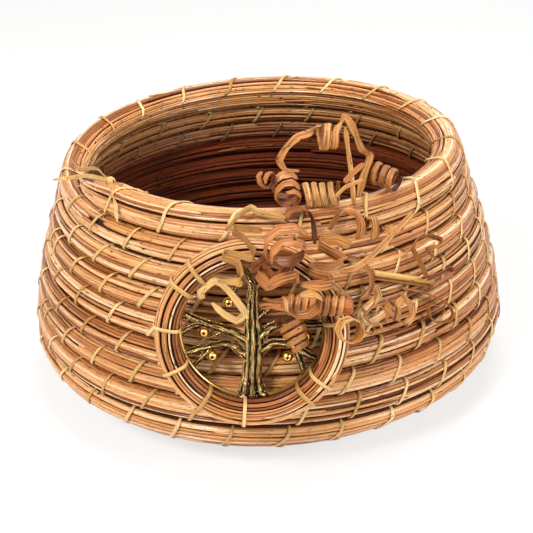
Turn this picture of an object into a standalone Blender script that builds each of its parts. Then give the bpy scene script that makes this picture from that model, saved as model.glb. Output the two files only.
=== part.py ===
"""Coiled basket of slender stems, with a brass tree in a stem hoop and a spray of curled tendrils.

The basket stands on the plane z = 0 with its centre on the Z axis, and +X runs to the right of its front.
Its front, where the hoop sits, faces -Y. Lengths are in metres.
"""

import math

import bmesh
import bpy
import numpy as np
from mathutils import Vector
from mathutils.bvhtree import BVHTree
from mathutils.kdtree import KDTree

# Bowl, measured at the outside of the widest row and along the middle of the coil elsewhere
BELLY_RADIUS = 0.1150
BELLY_HEIGHT = 0.0260
BASE_FLAT_RADIUS = 0.0600
RIM_RADIUS = 0.0860
RIM_HEIGHT = 0.1092
WALL_CURVE_SHARE = 1.5
OUTLINE_STEPS = 199

# Coil of stems
ROW_PITCH = 0.0112
ROW_GAP = 0.0006
COIL_DEPTH = 0.0110
RIM_THICKNESS = 0.0138
RIM_START_SWELL_TURNS_SHARE = 0.12
RIM_END_SWELL_TURNS_SHARE = 0.06
TAPER_SHARE = 0.45
RIM_END_ANGLE = math.radians(200)
POINTS_PER_LOOP = 24
WALL_START_RADIUS = 0.0980
CENTRE_END_RADIUS = 0.0078
BUTT_GAP = 0.0003
LEAST_SELF_GAP = 0.0004
SECTION_SHARES = ((1, 0.5), (1, -0.5), (0, -1), (-1, -0.5), (-1, 0.5), (0, 1))

# Seating gap between pieces that touch, and the travel allowed when one is laid on another
TOUCH_GAP = 0.0003
LAY_GAP = 0.0004
LAY_REACH = 0.2500
MIDDLE_REACH = 0.0200
SHORT_REACH = 0.0070
LAY_STEP = 0.0012

# Raffia strands, each sewn along one row; the last value staggers the rows
STITCH_WIDTH = 0.0018
STITCH_THICKNESS = 0.0007
STITCH_LENGTH = 0.0082
STITCH_SLANT = 0.0046
WALL_STITCH_ROWS = 8
RIM_STITCH_SEGMENTS = (4, 21)
WALL_STITCH_SEGMENTS = (1, 23)
STITCH_PLACE_SHARES = (0.5, 0.36, 0.64)

# Hoop of stems around the tree
HOOP_RADIUS = 0.0390
HOOP_CENTRE_X = -0.0070
HOOP_CENTRE_HEIGHT = 0.0755
HOOP_LEAN = math.radians(11)
HOOP_COIL_WIDTH = 0.0100
HOOP_BACK_COIL_WIDTH = 0.0066
HOOP_JOINT_SEGMENT = 15
HOOP_WRAP_SEGMENTS = (8, 9, 11, 13, 15, 17, 20, 21, 0)
HOOP_WRAP_WIDTH = 0.0022
HOOP_WRAP_THICKNESS = 0.0006
HOOP_WRAP_SHARES = ((-0.5, 0.75), (0, 1), (1, 0.5), (1, -0.5), (0, -1), (-0.5, -0.75))
HOOP_BUTT_GAP = 0.0006

# Brass tree and beads; the ring is tucked a little way behind the inner edge of the hoop's coil
TREE_RING_TUCK = 0.0004
TREE_RING_RADIUS = HOOP_RADIUS - HOOP_COIL_WIDTH + TREE_RING_TUCK
TREE_RING_THICKNESS = 0.0020
TREE_FOOT_RADIUS = 0.0042
BEAD_DIAMETER = 0.0042
BEAD_BORE = 0.0014
BEAD_SIDES = 10
BEAD_OUTLINE_POINTS = 5

# Vine stem, its lashing and the split stick
STEM_DIAMETER = 0.0066
STEM_START_SHARES = (0.30, 0.39)
STEM_END_SHARES = (1.02, 0.33)
LASHING_TURNS = 8
LASHING_START_SHARE = 0.1
LASHING_SPAN_SHARE = 0.8
LASHING_WIDTH = 0.0022
LASHING_THICKNESS = 0.0007
STICK_WIDTH = 0.0042
STICK_THICKNESS = 0.0018
STICK_START_SHARES = (1.30, 0.40, 0.0)
STICK_END_SHARES = (1.98, 0.17, -0.33)

# Curled tendrils
CURL_THICKNESS = 0.0008
CURL_POINTS_PER_TURN = 8
MITRE_LIMIT = 1.4

# Knot of raffia on the rim, with its place on the rim's coil as an angle round the coil
KNOT_ANGLE = math.radians(220)
KNOT_LEAN = math.radians(66)
KNOT_LIFT_SHARE = 0.13
KNOT_DIAMETER = 0.0042
KNOT_LEVEL_SHARES = (-0.9, -0.4, 0.4, 0.9)
TAIL_WIDTH = 0.0018
TAIL_THICKNESS = 0.0009

UP = Vector((0.0, 0.0, 1.0))
HEX_FLAT = math.cos(math.radians(30))


# Materials

def make_material(name, colour, roughness, metallic=0.0):
    """A plain surface; colour holds linear red, green and blue shares."""
    material = bpy.data.materials.new(name)
    material.use_nodes = True
    shader = material.node_tree.nodes["Principled BSDF"]
    shader.inputs["Base Color"].default_value = (*colour, 1.0)
    shader.inputs["Roughness"].default_value = roughness
    shader.inputs["Metallic"].default_value = metallic
    return material


# Mesh helpers

def add_object(name, vertices, faces, material):
    """Makes one object from points and faces, with its faces turned outwards."""
    mesh = bpy.data.meshes.new(name)
    mesh.from_pydata([tuple(vertex) for vertex in vertices], [], faces)
    work = bmesh.new()
    work.from_mesh(mesh)
    bmesh.ops.recalc_face_normals(work, faces=work.faces)
    work.to_mesh(mesh)
    work.free()
    mesh.materials.append(material)
    mesh.shade_smooth()
    mesh.set_sharp_from_angle(angle=math.radians(35))
    item = bpy.data.objects.new(name, mesh)
    bpy.context.scene.collection.objects.link(item)
    return item


def tube_mesh(sections, closed=False):
    """Skins a row of sections, each a ring of as many points, and caps the ends unless the row closes."""
    sides = len(sections[0])
    vertices = [point for section in sections for point in section]
    faces = []
    count = len(sections)
    for ring in range(count if closed else count - 1):
        here = ring * sides
        there = (ring + 1) % count * sides
        for side in range(sides):
            after = (side + 1) % sides
            faces.append((here + side, here + after, there + after, there + side))
    if not closed:
        faces.append(tuple(range(sides)))
        faces.append(tuple(reversed(range((count - 1) * sides, count * sides))))
    return vertices, faces


def merge_meshes(parts):
    """Puts several separate bodies into one list of points and faces."""
    vertices = []
    faces = []
    for part_vertices, part_faces in parts:
        start = len(vertices)
        vertices.extend(part_vertices)
        faces.extend(tuple(start + index for index in face) for face in part_faces)
    return vertices, faces


def blend(first, second, share):
    """A section between two others."""
    return [a.lerp(b, share) for a, b in zip(first, second)]


def path_tangents(points):
    """The direction of a path at each of its points."""
    last = len(points) - 1
    return [(points[min(i + 1, last)] - points[max(i - 1, 0)]).normalized() for i in range(last + 1)]


def ribbon_sections(points, sides, width, thickness):
    """Flat sections along a path; sides gives the way of the ribbon's width, and its corners are mitred."""
    ways = [(after - here).normalized() for here, after in zip(points, points[1:])]
    sections = []
    for number, (point, tangent, side) in enumerate(zip(points, path_tangents(points), sides)):
        across = (side - tangent * side.dot(tangent)).normalized()
        bend = (ways[min(number, len(ways) - 1)] - ways[max(number - 1, 0)]).dot(across) / 2
        mitre = 1 / max(math.sqrt(1 - bend * bend), 1 / MITRE_LIMIT)
        across *= width / 2 * mitre
        through = tangent.cross(across).normalized() * (thickness / 2)
        sections.append([point + across + through, point - across + through,
                         point - across - through, point + across - through])
    return sections


def least_gap(rings, loop_rings):
    """The least distance from a point of a tube to one at least half a loop of rings further on."""
    half_loop = loop_rings // 2
    tree = KDTree(sum(len(ring) for ring in rings))
    owners = []
    for number, ring in enumerate(rings):
        for point in ring:
            tree.insert(point, len(owners))
            owners.append(number)
    tree.balance()
    least = math.inf
    for number, ring in enumerate(rings):
        for point in ring:
            for _, index, distance in tree.find_range(point, ROW_PITCH):
                if abs(owners[index] - number) >= half_loop:
                    least = min(least, distance)
    return least


# Laying pieces on each other

class Placed:
    """The pieces already in place: their faces, and points along their edges, for laying the next piece."""

    def __init__(self):
        self.vertices = []
        self.faces = []
        self.samples = np.zeros((0, 3))

    def add(self, vertices, faces):
        start = len(self.vertices)
        self.vertices.extend(vertices)
        self.faces.extend(tuple(start + index for index in face) for face in faces)
        self.samples = np.concatenate([self.samples, edge_samples(vertices, faces)])


def edge_samples(vertices, faces):
    """The corners of a mesh and evenly spaced points on each of its edges."""
    edges = sorted({tuple(sorted((face[i], face[i - 1]))) for face in faces for i in range(len(face))})
    samples = [tuple(vertex) for vertex in vertices]
    for first, second in edges:
        start, end = vertices[first], vertices[second]
        steps = math.ceil((end - start).length / LAY_STEP)
        samples.extend(tuple(start.lerp(end, step / steps)) for step in range(1, steps))
    return np.array(samples)


def lay(placed, bodies, direction, reach=LAY_REACH):
    """Slides bodies along a direction, from a reach back, until they come within the laying gap of what is there."""
    direction = direction.normalized()
    vertices, faces = merge_meshes(bodies)
    back_off = direction * reach
    vertices = [vertex - back_off for vertex in vertices]
    carriers = BVHTree.FromPolygons(placed.vertices, placed.faces)
    piece = BVHTree.FromPolygons(vertices, faces)
    own = edge_samples(vertices, faces)
    first_side = direction.orthogonal().normalized()
    sides = np.array([first_side, direction.cross(first_side)])
    shadow = own @ sides.T
    others = placed.samples @ sides.T
    near = np.all((others > shadow.min(axis=0)) & (others < shadow.max(axis=0)), axis=1)
    travel = math.inf
    for point in own:
        hit = carriers.ray_cast(Vector(point), direction)
        if hit[0] is not None:
            travel = min(travel, hit[3])
    for point in placed.samples[near]:
        hit = piece.ray_cast(Vector(point), -direction)
        if hit[0] is not None:
            travel = min(travel, hit[3])
    shift = direction * (travel - LAY_GAP - reach)
    moved = [([vertex + shift for vertex in body[0]], body[1]) for body in bodies]
    return moved, shift


# The bowl's outline and coil

def wall_outline():
    """The middle of the coil as distance along it, radius, height and slope, from the centre outwards."""
    flat_height = COIL_DEPTH / 2
    belly_middle = BELLY_RADIUS - COIL_DEPTH / 2
    steps = np.linspace(0.0, 1.0, OUTLINE_STEPS + 1)[1:]
    turn = steps * math.pi / 2
    radius = np.concatenate([
        np.concatenate([[0.0], steps * BASE_FLAT_RADIUS]),
        BASE_FLAT_RADIUS + (belly_middle - BASE_FLAT_RADIUS) * np.sin(turn),
        belly_middle - (belly_middle - RIM_RADIUS) * steps ** WALL_CURVE_SHARE])
    height = np.concatenate([
        np.full(len(steps) + 1, flat_height),
        flat_height + (BELLY_HEIGHT - flat_height) * (1 - np.cos(turn)),
        BELLY_HEIGHT + (RIM_HEIGHT - BELLY_HEIGHT) * steps])
    along = np.concatenate([[0.0], np.cumsum(np.hypot(np.diff(radius), np.diff(height)))])
    slope = np.unwrap(np.arctan2(np.gradient(height), np.gradient(radius)))
    return along, radius, height, slope


OUTLINE = wall_outline()
OUTLINE_LENGTH = float(OUTLINE[0][-1])
ROW_HALF = (ROW_PITCH - ROW_GAP) / 2


def coil_state(back):
    """The coil's middle at a number of turns back from its end at the rim, with its half sizes."""
    along, radius, height, slope = OUTLINE
    half_depth = COIL_DEPTH / 2
    half_row = ROW_HALF
    place = OUTLINE_LENGTH - ROW_PITCH * back
    if back < 1.0:
        swell = min(1.0, back / RIM_END_SWELL_TURNS_SHARE)
        shrink = min(1.0, (1.0 - back) / RIM_START_SWELL_TURNS_SHARE)
        low = TAPER_SHARE * RIM_THICKNESS / 2
        tapered = low + (RIM_THICKNESS / 2 - low) * swell
        half_row = tapered if back < 0.5 else ROW_HALF + (RIM_THICKNESS / 2 - ROW_HALF) * shrink
        half_depth = tapered if back < 0.5 else half_depth + (RIM_THICKNESS / 2 - half_depth) * shrink
        place = OUTLINE_LENGTH - ROW_PITCH * (back + 1.0) + ROW_HALF + ROW_GAP + half_row
    over = max(0.0, place - OUTLINE_LENGTH)
    angle = float(np.interp(place, along, slope))
    middle_radius = float(np.interp(place, along, radius)) + over * math.cos(angle)
    middle_height = float(np.interp(place, along, height)) + over * math.sin(angle)
    return middle_radius, middle_height, angle, half_depth, half_row


def coil_section(back):
    """Six corners of the coil, with one flat face outwards and one inwards; the outer two come first."""
    middle_radius, middle_height, slope, half_depth, half_row = coil_state(back)
    turn = RIM_END_ANGLE + 2 * math.pi * back
    radial = Vector((math.cos(turn), math.sin(turn), 0.0))
    up_wall = radial * math.cos(slope) + UP * math.sin(slope)
    outward = radial * math.sin(slope) - UP * math.cos(slope)
    middle = radial * middle_radius + UP * middle_height
    return [middle + outward * (half_depth * n) + up_wall * (half_row * t) for n, t in SECTION_SHARES]


def faceted_section(back):
    """The section of the faceted coil at any place between two of its corners."""
    segment = back * POINTS_PER_LOOP
    first = math.floor(segment)
    return blend(coil_section(first / POINTS_PER_LOOP), coil_section((first + 1) / POINTS_PER_LOOP), segment - first)


def butt_share(segment):
    """How far half the butt gap is along a segment of the coil, as a share of the segment."""
    middle_radius = coil_state((segment + 0.5) / POINTS_PER_LOOP)[0]
    return BUTT_GAP / 2 / (2 * middle_radius * math.sin(math.pi / POINTS_PER_LOOP))


def coil_rings(first_segment, last_segment):
    """Sections from the middle of one segment to the middle of another; None stands for the coil's own end."""
    rings = []
    if first_segment is None:
        numbers = range(0, last_segment + 1)
    else:
        share = butt_share(first_segment)
        rings.append(faceted_section((first_segment + 0.5 + share) / POINTS_PER_LOOP))
        numbers = range(first_segment + 1, last_segment + 1)
    rings.extend(coil_section(number / POINTS_PER_LOOP) for number in numbers)
    return rings


def close_butt(rings, segment):
    """Ends a coil's stretch square, half the butt gap short of the middle of a segment."""
    share = butt_share(segment)
    rings.append(faceted_section((segment + 0.5 - share) / POINTS_PER_LOOP))
    return rings


def segment_at_radius(radius):
    """The segment, counted back from the rim, where the coil's middle first comes in to a radius."""
    segment = POINTS_PER_LOOP
    below = int((OUTLINE_LENGTH - OUTLINE[0][len(OUTLINE[0]) // 3]) / ROW_PITCH * POINTS_PER_LOOP)
    while segment < below:
        state = coil_state(segment / POINTS_PER_LOOP)
        if state[1] < BELLY_HEIGHT and state[0] < radius:
            break
        segment += 1
    return segment


RIM_LAST = POINTS_PER_LOOP
WALL_LAST = segment_at_radius(WALL_START_RADIUS)
COIL_LAST = math.floor((OUTLINE_LENGTH - CENTRE_END_RADIUS) / ROW_PITCH * POINTS_PER_LOOP)


def start_mesh():
    """The tight first curl of the coil, a flat plug that follows the inner side of the innermost loop."""
    outline = []
    for number in range(COIL_LAST - POINTS_PER_LOOP + 1, COIL_LAST + 1):
        tip = coil_section(number / POINTS_PER_LOOP)[2]
        flat = Vector((tip.x, tip.y, 0.0))
        outline.append(flat - flat.normalized() * (TOUCH_GAP + BUTT_GAP))
    return tube_mesh([outline, [point + UP * COIL_DEPTH for point in outline]])


def build_coils(materials, placed):
    """Rim, wall and base, three stretches of one coil that butt end to end."""
    stretches = {
        "rim_coil": close_butt(coil_rings(None, RIM_LAST), RIM_LAST),
        "wall_coil": close_butt(coil_rings(RIM_LAST, WALL_LAST), WALL_LAST),
        "base_coil": coil_rings(WALL_LAST, COIL_LAST)}
    for name, rings in stretches.items():
        vertices, faces = tube_mesh(rings)
        add_object(name, vertices, faces, materials["stems"])
        placed.add(vertices, faces)
        print(name, "loops", round(len(rings) / POINTS_PER_LOOP, 2))
    for names in (("rim_coil",), ("wall_coil",), ("base_coil",), ("rim_coil", "wall_coil", "base_coil")):
        gap = least_gap([ring for name in names for ring in stretches[name]], POINTS_PER_LOOP)
        print("least gap of", " and ".join(names), "to itself:", round(gap * 1000, 3), "mm")
        if gap < LEAST_SELF_GAP:
            print("that gap is under the least allowed")
    vertices, faces = start_mesh()
    add_object("coil_start", vertices, faces, materials["stems"])
    placed.add(vertices, faces)


# Stitches on the rows

def row_place(back, rise, lift):
    """A place over a row's outer face: turns back from the rim's end, height over the face's middle, and lift."""
    segment = back * POINTS_PER_LOOP
    first = math.floor(segment)
    ring = faceted_section(back)
    up_row = (ring[0] - ring[1]).normalized()

    def normal(number):
        start = coil_section(number / POINTS_PER_LOOP)
        end = coil_section((number + 1) / POINTS_PER_LOOP)
        return (end[0] - start[0]).cross(start[0] - start[1]).normalized()

    outward = normal(first)
    if segment == first:
        before = normal(first - 1)
        outward = (outward + before).normalized()
        lift = lift / outward.dot(before)
    return (ring[0] + ring[1]) / 2 + up_row * rise + outward * lift


def strand_stations(row, first, last, share):
    """The turning points of a row's strand: a stitch up, a run above the row, a stitch down, a run below it."""
    chord = 2 * coil_state(row + 0.5)[0] * math.sin(math.pi / POINTS_PER_LOOP)
    half_slant = STITCH_SLANT / 2 / chord
    half_length = STITCH_LENGTH / 2
    stations = []
    for number in range(first, last):
        low = (row * POINTS_PER_LOOP + number + share - half_slant, -half_length)
        high = (row * POINTS_PER_LOOP + number + share + half_slant, half_length)
        rising = (number - first) % 2 == 0
        stations += [low, high] if rising else [high, low]
        if number + 1 < last:
            stations.append((row * POINTS_PER_LOOP + number + 1, half_length if rising else -half_length))
    return [Vector((segment * chord, rise)) for segment, rise in stations], chord


def row_strand(row, first, last, share):
    """A flat strand sewn along a row, mitred at its turns; it never touches the coil."""
    stations, chord = strand_stations(row, first, last, share)
    ways = [(after - here).normalized() for here, after in zip(stations, stations[1:])]
    sections = []
    for number, station in enumerate(stations):
        before = ways[max(number - 1, 0)]
        after = ways[min(number, len(ways) - 1)]
        mitre = (before.orthogonal() + after.orthogonal()) / (1 + before.dot(after)) * (STITCH_WIDTH / 2)
        corners = []
        for edge in (station + mitre, station - mitre):
            back = edge.x / chord / POINTS_PER_LOOP
            for lift in (TOUCH_GAP, TOUCH_GAP + STITCH_THICKNESS):
                corners.append(row_place(back, edge.y, lift))
        sections.append([corners[0], corners[1], corners[3], corners[2]])
    return tube_mesh(sections)


def build_stitches(materials, placed):
    """One strand of raffia along each row."""
    rows = [("rim_stitches", 0, RIM_STITCH_SEGMENTS)]
    rows += [(f"wall_stitches_{row:02d}", row, WALL_STITCH_SEGMENTS) for row in range(1, WALL_STITCH_ROWS + 1)]
    for name, row, segments in rows:
        share = STITCH_PLACE_SHARES[row % len(STITCH_PLACE_SHARES)]
        vertices, faces = row_strand(row, *segments, share)
        add_object(name, vertices, faces, materials["raffia"])
        placed.add(vertices, faces)


# The hoop's own frame: u to the right, v up along its lean, n out of the basket

HOOP_RIGHT = Vector((1.0, 0.0, 0.0))
HOOP_UP = Vector((0.0, math.sin(HOOP_LEAN), math.cos(HOOP_LEAN)))
HOOP_OUT = Vector((0.0, -math.cos(HOOP_LEAN), math.sin(HOOP_LEAN)))
HOOP_START = Vector((HOOP_CENTRE_X, -BELLY_RADIUS, HOOP_CENTRE_HEIGHT))


def on_hoop(centre, u, v, n):
    """A place in the hoop's frame, in metres from its centre."""
    return centre + HOOP_RIGHT * u + HOOP_UP * v + HOOP_OUT * n


def in_spray(centre, u, v, n):
    """A place in the hoop's frame, given as shares of the hoop's radius."""
    return on_hoop(centre, u * HOOP_RADIUS, v * HOOP_RADIUS, n * HOOP_RADIUS)


def above_rim(centre, u, rise, out):
    """A place over the rim: how far right of the hoop's centre, over the rim's middle and out from it."""
    right = centre.x + u * HOOP_RADIUS
    forward = math.sqrt(RIM_RADIUS ** 2 - min(abs(right), RIM_RADIUS) ** 2) + out * HOOP_RADIUS
    return Vector((right, -forward, RIM_HEIGHT + rise * HOOP_RADIUS))


def hoop_section(centre, radius, offset, half_width, turn):
    """Six corners of a hoop's coil at one angle, with a flat face to the front."""
    half_depth = half_width * HEX_FLAT
    ring = []
    for depth_share, width_share in SECTION_SHARES:
        distance = radius + half_width * width_share
        ring.append(on_hoop(centre, distance * math.cos(turn), distance * math.sin(turn),
                            offset + half_depth * depth_share))
    return ring


def hoop_coil(centre, radius, offset, half_width, joint_segment):
    """One loop of stems whose square ends meet in the middle of a segment."""
    def corner(number):
        return hoop_section(centre, radius, offset, half_width, 2 * math.pi * number / POINTS_PER_LOOP)
    share = HOOP_BUTT_GAP / 2 / (2 * radius * math.sin(math.pi / POINTS_PER_LOOP))
    rings = [blend(corner(joint_segment), corner(joint_segment + 1), 0.5 + share)]
    rings += [corner(joint_segment + number) for number in range(1, POINTS_PER_LOOP + 1)]
    rings.append(blend(corner(joint_segment), corner(joint_segment + 1), 0.5 - share))
    gap = (sum(rings[0], Vector()) / 6 - sum(rings[-1], Vector()) / 6).length
    return tube_mesh(rings), gap


def hoop_wrap(centre, segment):
    """A band of raffia over the front and both sides of the hoop's front coil."""
    radius = HOOP_RADIUS - HOOP_COIL_WIDTH / 2
    half_width = HOOP_COIL_WIDTH / 2
    apothem = half_width * HEX_FLAT
    turn = 2 * math.pi * (segment + 0.5) / POINTS_PER_LOOP
    chord = radius * math.cos(math.pi / POINTS_PER_LOOP)
    radial = HOOP_RIGHT * math.cos(turn) + HOOP_UP * math.sin(turn)
    along = HOOP_UP * math.cos(turn) - HOOP_RIGHT * math.sin(turn)
    middle = centre + radial * chord
    flatten = math.cos(math.pi / POINTS_PER_LOOP)
    sections = []
    for depth_share, width_share in HOOP_WRAP_SHARES:
        arm = HOOP_OUT * (apothem * depth_share) + radial * (half_width * width_share * flatten)
        inner = arm * (1 + (TOUCH_GAP + BUTT_GAP) / apothem)
        outer = arm * (1 + (TOUCH_GAP + BUTT_GAP + HOOP_WRAP_THICKNESS) / apothem)
        side = along * (HOOP_WRAP_WIDTH / 2)
        sections.append([middle + inner - side, middle + inner + side,
                         middle + outer + side, middle + outer - side])
    return tube_mesh(sections)


# The brass tree: each branch as points in shares of the ring's radius, and thickness shares of the foot

TREE_BRANCH_SHARES = {
    "trunk": (((-0.05, -0.975), 1.70), ((-0.04, -0.86), 1.25), ((-0.03, -0.66), 0.92), ((0.0, -0.30), 0.95),
              ((0.02, -0.06), 1.10), ((0.02, 0.22), 0.78), ((0.05, 0.50), 0.52), ((0.01, 0.98), 0.24)),
    "left_root": (((-0.28, -0.93), 0.42), ((-0.13, -0.82), 0.52), ((-0.04, -0.60), 0.45)),
    "right_root": (((0.21, -0.945), 0.42), ((0.08, -0.82), 0.52), ((-0.02, -0.60), 0.45)),
    "left_upper": (((0.0, -0.18), 0.62), ((-0.22, -0.12), 0.58), ((-0.53, 0.11), 0.50), ((-0.94, 0.28), 0.32)),
    "left_upper_twig": (((-0.50, 0.09), 0.36), ((-0.72, 0.03), 0.32), ((-0.98, -0.02), 0.28)),
    "left_lower": (((-0.02, -0.42), 0.52), ((-0.20, -0.30), 0.52), ((-0.42, -0.25), 0.48), ((-0.92, -0.33), 0.34)),
    "left_lower_twig": (((-0.62, -0.30), 0.32), ((-0.84, -0.50), 0.24)),
    "right_upper": (((0.0, -0.18), 0.62), ((0.22, -0.10), 0.56), ((0.46, -0.03), 0.46), ((0.97, 0.0), 0.30)),
    "right_lower": (((0.0, -0.40), 0.52), ((0.22, -0.29), 0.52), ((0.48, -0.30), 0.46), ((0.84, -0.50), 0.36)),
    "right_lower_twig": (((0.55, -0.34), 0.34), ((0.64, -0.56), 0.32), ((0.69, -0.68), 0.24)),
    "right_crown": (((0.02, 0.0), 0.50), ((0.20, 0.18), 0.44), ((0.40, 0.36), 0.36), ((0.62, 0.30), 0.28)),
    "left_crown": (((0.0, 0.12), 0.46), ((-0.12, 0.34), 0.38), ((-0.24, 0.50), 0.32), ((-0.18, 0.66), 0.24)),
}
TREE_DEPTH_SHARE = 0.62
BRANCH_SIDES = 6
BRANCH_LEAN = math.radians(3)
BEAD_PLACE_SHARES = ((-0.15, 0.70), (-0.30, 0.42), (-0.66, 0.02), (-0.56, -0.33), (0.47, -0.39), (0.74, -0.10),
                     (0.54, 0.27))


def branch_mesh(centre, offset, stations, lean):
    """A tapered six-sided limb through stations of a place and a thickness, all as shares; lean turns its sides."""
    points = [on_hoop(centre, u * TREE_RING_RADIUS, v * TREE_RING_RADIUS, offset) for (u, v), _ in stations]
    sections = []
    for point, tangent, (_, thickness) in zip(points, path_tangents(points), stations):
        across = tangent.cross(HOOP_OUT).normalized()
        half = thickness * TREE_FOOT_RADIUS
        ring = []
        for side in range(BRANCH_SIDES):
            turn = 2 * math.pi * side / BRANCH_SIDES + lean
            depth = min(half, TREE_FOOT_RADIUS) * TREE_DEPTH_SHARE * math.sin(turn)
            ring.append(point + across * (half * math.cos(turn)) + HOOP_OUT * depth)
        sections.append(ring)
    return tube_mesh(sections)


def ring_mesh(centre, offset, radius, thickness):
    """A six-sided wire ring in the hoop's plane."""
    rings = []
    for number in range(POINTS_PER_LOOP):
        turn = 2 * math.pi * number / POINTS_PER_LOOP
        ring = []
        for side in range(BRANCH_SIDES):
            lean = 2 * math.pi * (side + 0.5) / BRANCH_SIDES
            distance = radius + thickness / 2 * math.cos(lean)
            ring.append(on_hoop(centre, distance * math.cos(turn), distance * math.sin(turn),
                                offset + thickness / 2 * math.sin(lean)))
        rings.append(ring)
    return tube_mesh(rings, closed=True)


def unite(name, bodies, material):
    """Joins overlapping bodies into one solid."""
    first = add_object(name + "_body", *bodies[0], material)
    cutters = []
    for number, (vertices, faces) in enumerate(bodies[1:]):
        cutter = add_object(f"{name}_limb_{number}", vertices, faces, material)
        cutter.hide_render = True
        cutter.display_type = "WIRE"
        modifier = first.modifiers.new(f"join_{number}", "BOOLEAN")
        modifier.operation = "UNION"
        modifier.solver = "EXACT"
        modifier.object = cutter
        cutters.append(cutter)
    depsgraph = bpy.context.evaluated_depsgraph_get()
    mesh = bpy.data.meshes.new_from_object(first.evaluated_get(depsgraph))
    vertices = [vertex.co.copy() for vertex in mesh.vertices]
    faces = [tuple(polygon.vertices) for polygon in mesh.polygons]
    for item in [first, *cutters]:
        bpy.data.objects.remove(item)
    return vertices, faces


def bead_mesh(middle):
    """A round bead with a bore along the hoop's outward way, its ends open."""
    radius = BEAD_DIAMETER / 2
    bore = BEAD_BORE / 2
    start = math.asin(bore / radius)
    outline = []
    for step in range(BEAD_OUTLINE_POINTS):
        turn = start + (math.pi - 2 * start) * step / (BEAD_OUTLINE_POINTS - 1)
        outline.append((radius * math.sin(turn), radius * math.cos(turn)))
    rings = []
    for side in range(BEAD_SIDES):
        turn = 2 * math.pi * side / BEAD_SIDES
        radial = HOOP_RIGHT * math.cos(turn) + HOOP_UP * math.sin(turn)
        rings.append([middle + radial * distance + HOOP_OUT * height for distance, height in outline])
    return tube_mesh(rings, closed=True)


def build_hoop(materials, placed):
    """The hoop with the tree and beads in it, laid as one against the wall; returns the hoop's centre."""
    centre = HOOP_START
    front_radius = HOOP_RADIUS - HOOP_COIL_WIDTH / 2
    front_depth = HOOP_COIL_WIDTH / 2 * HEX_FLAT
    ring_offset = -(front_depth + TOUCH_GAP + TREE_RING_THICKNESS / 2)
    back_depth = HOOP_BACK_COIL_WIDTH / 2 * HEX_FLAT
    back_offset = -(front_depth + TOUCH_GAP + back_depth)
    back_radius = TREE_RING_RADIUS + TREE_RING_THICKNESS / 2 + TOUCH_GAP + HOOP_BACK_COIL_WIDTH / 2
    front, front_gap = hoop_coil(centre, front_radius, 0.0, HOOP_COIL_WIDTH / 2, HOOP_JOINT_SEGMENT)
    back, back_gap = hoop_coil(centre, back_radius, back_offset, HOOP_BACK_COIL_WIDTH / 2, HOOP_JOINT_SEGMENT - 2)
    print("least gap of each hoop coil to itself:", round(min(front_gap, back_gap) * 1000, 3), "mm")
    limbs = [branch_mesh(centre, ring_offset, stations, number * BRANCH_LEAN)
             for number, stations in enumerate(TREE_BRANCH_SHARES.values())]
    ring = ring_mesh(centre, ring_offset, TREE_RING_RADIUS, TREE_RING_THICKNESS)
    pieces = {
        "hoop_front_coil": ("stems", front),
        "hoop_back_coil": ("stems", back),
        "brass_tree": ("brass", unite("brass_tree", [ring, *limbs], materials["brass"]))}
    for number, segment in enumerate(HOOP_WRAP_SEGMENTS, start=1):
        pieces[f"hoop_wrap_{number}"] = ("raffia", hoop_wrap(centre, segment))
    bodies, shift = lay(placed, [body for _, body in pieces.values()], -HOOP_OUT)
    for (name, (finish, _)), (vertices, faces) in zip(pieces.items(), bodies):
        add_object(name, vertices, faces, materials[finish])
        placed.add(vertices, faces)
    centre = centre + shift
    for number, (u, v) in enumerate(BEAD_PLACE_SHARES, start=1):
        bead = bead_mesh(on_hoop(centre, u * TREE_RING_RADIUS, v * TREE_RING_RADIUS, 0.0))
        ((vertices, faces),), _ = lay(placed, [bead], -HOOP_OUT)
        add_object(f"bead_{number}", vertices, faces, materials["bright_brass"])
        placed.add(vertices, faces)
    return centre


# Stem, lashing and stick

def build_stem(materials, placed, centre):
    """The lashed vine stem across the hoop, and the split stick to its right."""
    start = in_spray(centre, *STEM_START_SHARES, 0.0)
    end = in_spray(centre, *STEM_END_SHARES, 0.0)
    along = (end - start).normalized()
    side = along.cross(HOOP_OUT).normalized()
    radius = STEM_DIAMETER / 2

    def around(point, distance, turn):
        return point + side * (distance * math.cos(turn)) + HOOP_OUT * (distance * math.sin(turn))

    turns = [2 * math.pi * number / BRANCH_SIDES for number in range(BRANCH_SIDES)]
    stem = tube_mesh([[around(point, radius, turn) for turn in turns] for point in (start, end)])
    count = LASHING_TURNS * CURL_POINTS_PER_TURN
    wound = (end - start).length * LASHING_SPAN_SHARE
    reach = (radius + TOUCH_GAP) / math.cos(math.pi / CURL_POINTS_PER_TURN) + LASHING_THICKNESS / 2
    points = []
    for number in range(count + 1):
        place = start + along * ((end - start).length * LASHING_START_SHARE + wound * number / count)
        points.append(around(place, reach, 2 * math.pi * number / CURL_POINTS_PER_TURN))
    turns_of_strand = ribbon_sections(points, [along] * len(points), LASHING_WIDTH, LASHING_THICKNESS)
    lashing = tube_mesh(turns_of_strand)
    gap = least_gap(turns_of_strand, CURL_POINTS_PER_TURN)
    print("least gap of the lashing to itself:", round(gap * 1000, 3), "mm")
    stick_start = in_spray(centre, *STICK_START_SHARES)
    stick_end = in_spray(centre, *STICK_END_SHARES)
    stick = tube_mesh(ribbon_sections([stick_start, stick_end], [HOOP_UP] * 2, STICK_WIDTH, STICK_THICKNESS))
    for names, bodies in ((("vine_stem", "stem_lashing"), [stem, lashing]), (("split_stick",), [stick])):
        moved, _ = lay(placed, bodies, -HOOP_OUT)
        for name, (vertices, faces) in zip(names, moved):
            add_object(name, vertices, faces, materials["raffia" if name == "stem_lashing" else "tendril"])
            placed.add(vertices, faces)


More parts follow.
